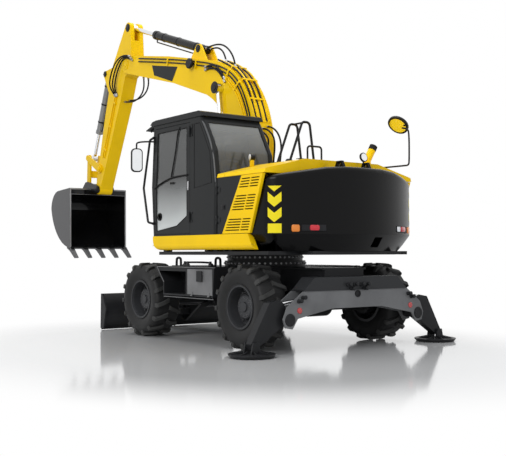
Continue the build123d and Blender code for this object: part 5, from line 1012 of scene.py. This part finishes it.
# The side plates and the teeth are a lighter grey than the black body.
sideways = add(tree, "Math", {0: axes["Y"]}, operation="ABSOLUTE")
side_plate = add(tree, "Math", {0: sideways.outputs[0], 1: BUCKET_HALF - 0.0015}, operation="GREATER_THAN")
tooth = add(tree, "Math", {0: axes["Z"], 1: 1.262}, operation="LESS_THAN")
grey_side_or_tooth = add(tree, "Math", {0: side_plate.outputs[0], 1: tooth.outputs[0]}, operation="MAXIMUM")
grey_sides = add(tree, "MixRGB", {"Fac": grey_side_or_tooth.outputs[0], "Color1": tone, "Color2": (0.060, 0.060, 0.063, 1)})
fill(tree, shader, {"Base Color": grey_sides.outputs["Color"]})
wear(bucket_paint, "bucket")
lip = at_y(-BUCKET_HALF, ((5.105, 1.281), (5.120, 1.270), (5.215, 1.296), (5.212, 1.303)))
made("cutting_lip", [prism(lip, (0, 2 * BUCKET_HALF, 0))], worn_steel_and_painted_highlight, "bucket", rounded=0.001)
# The cutting lip is rubbed bright; the strips up the mouth's sides, along its top and under the black band are
# painted highlights where those edges catch the light.
# columns: the strip's two sides across, foot and top as (x, z), thickness
edges = [prism([(foot[0], y0, foot[1]), (foot[0], y1, foot[1]), (top[0], y1, top[1]), (top[0], y0, top[1])],
               (-thick, 0, 0)) for y0, y1, foot, top, thick in (
             (-BUCKET_HALF + 0.024, -BUCKET_HALF, (5.118, 1.30), (5.128, 2.385), 0.004),
             (BUCKET_HALF - 0.024, BUCKET_HALF, (5.118, 1.30), (5.128, 2.385), 0.004),
             (-BUCKET_HALF, BUCKET_HALF, (5.127, 2.372), (5.129, 2.398), 0.004),
             (-MOUTH_HALF, MOUTH_HALF, (5.127, 2.283), (5.129, 2.294), 0.006))]
made("bucket_mouth_highlight_strips", edges, worn_steel_and_painted_highlight, "bucket", rounded=0.001)
made("bucket_mouth_band", [block((5.119, 5.125), (-MOUTH_HALF, MOUTH_HALF), (2.290, 2.374))], bucket_paint, "bucket",
     rounded=0.001)

# Blade: bent plate painted as the frame, with a separate cutting edge held by countersunk
# bolts along its foot.
wear(satin_black, "blade")
BLADE_FACE = 2.632
BLADE_BOLTS = 15
blade_bolts = [turned([(0.018, -0.004), (0.018, 0.002), (0.010, 0.004)],
                      (BLADE_FACE - 0.004, -1.12 + count * 0.16, 0.06), (1, 0, 0), 16)
               for count in range(BLADE_BOLTS)]
made("blade_edge_bolts", blade_bolts, bolt_steel, "blade")

# Hoses: rubber over braided wire, with crimped steel ends. They lead the oil from the
# upper frame to the boom, over its knee to the arm's cylinder, and past its tip to the arm.
hose_rubber = sprayed("hose rubber", (0.013, 0.013, 0.014), 0.48, uneven=0.3, peel=0.2)
HOSE_R = 0.013
TUBE_SIDES = 14
FERRULE = ((0.012, -0.012), (0.019, -0.006), (0.0175, 0.004), (0.019, 0.012), (0.0175, 0.020), (0.019, 0.028),
           (0.0175, 0.036), (0.0165, 0.046), (0.0135, 0.050))


def hose(name, route, carriers):
    """A hose along its route: it rides on one carrier, or lies fixed in the frame between two, its steel ends riding
    on those carriers.
    """
    curve, line = curve_through(name, "NURBS", route)
    line.resolution_u = 10
    guide = in_scene(name, curve)
    path = [v.co.copy() for v in bpy.data.meshes.new_from_object(guide).vertices]
    bpy.data.objects.remove(guide)
    across = (path[1] - path[0]).orthogonal().normalized()
    verts = []
    for count, spot_on_path in enumerate(path):
        onward = (path[min(count + 1, len(path) - 1)] - path[max(count - 1, 0)]).normalized()
        across = (across - onward * across.dot(onward)).normalized()
        third = onward.cross(across)
        for step in range(TUBE_SIDES):
            turn = 2 * math.pi * step / TUBE_SIDES
            verts.append(spot_on_path + (across * math.cos(turn) + third * math.sin(turn)) * HOSE_R)
    rides = carriers[0] if len(carriers) == 1 else None
    piece = made(name, [(verts, wrapped(len(path), TUBE_SIDES))], hose_rubber, rides, smooth=True,
                 in_frame=True)
    if rides is None:
        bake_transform(piece)
    ferrules = [made(f"{name}_{label}", [turned(FERRULE, at_end, inward, 12)], bright_steel, body,
                     in_frame=True)
                for label, at_end, inward, body in (("start", path[0], path[1] - path[0], carriers[0]),
                                                    ("end", path[-1], path[-2] - path[-1], carriers[-1]))]


for count, y in enumerate((-0.06, 0.03, 0.12)):
    drop = count * 0.035
    hose(f"foot_hose_{count}", at_y(y, ((0.040, 2.99 - drop), (-0.07, 2.985 - drop), (-0.24, 2.87 - drop),
                                        (-0.31 + drop, 2.68), (-0.27 + drop, 2.45), (-0.22, 2.15), (-0.30, 1.80),
                                        (-0.38, 1.55), (-0.39, 1.24))),
         ("boom", "upper"))
for count, (y, way_over) in enumerate((
        (0.030, ((0.66, 3.935), (0.69, 4.05), (0.79, 4.20), (0.95, 4.32), (1.13, 4.37), (1.32, 4.375))),
        (-0.060, ((1.02, 4.085), (1.07, 4.21), (1.15, 4.30), (1.25, 4.35), (1.36, 4.365))))):
    hose(f"knee_hose_{count}", at_y(y, (*way_over, (1.475, 4.365))), ("boom", "arm_barrel"))
for count in range(2):
    lower = 0.045 * count
    hose(f"flank_hose_{count}", [(x, y, z - lower) for x, y, z in (
        (1.26, 0.172, 4.025), (1.14, 0.176, 4.03), (0.98, 0.178, 4.00), (0.84, 0.178, 3.90), (0.74, 0.172, 3.76))],
         ("boom",))
for count, y in enumerate((0.045, -0.045)):
    tuck = 0.05 * count
    hose(f"arm_root_hose_{count}", at_y(y, ((3.36, 4.230), (3.33, 4.10 + tuck), (3.38, 3.96 + tuck),
                                            (3.54, 3.87 + tuck), (3.78, 3.84 + tuck), (4.028, 3.89 + tuck * 0.6))),
         ("boom", "arm"))
for count, (y, bulge) in enumerate(((0.170, 0.0), (0.198, 0.05), (0.226, 0.11))):
    hose(f"arm_side_hose_{count}", at_y(y, ((3.52, 4.53 + count * 0.03), (3.72, 4.62 + count * 0.02),
                                            (3.90 + bulge, 4.60), (4.06 + bulge, 4.45), (4.16 + bulge, 4.26),
                                            (4.18 + bulge * 0.4, 4.12)))
         + [(4.13 + count * 0.035, 0.140, 4.00)], ("boom", "arm"))
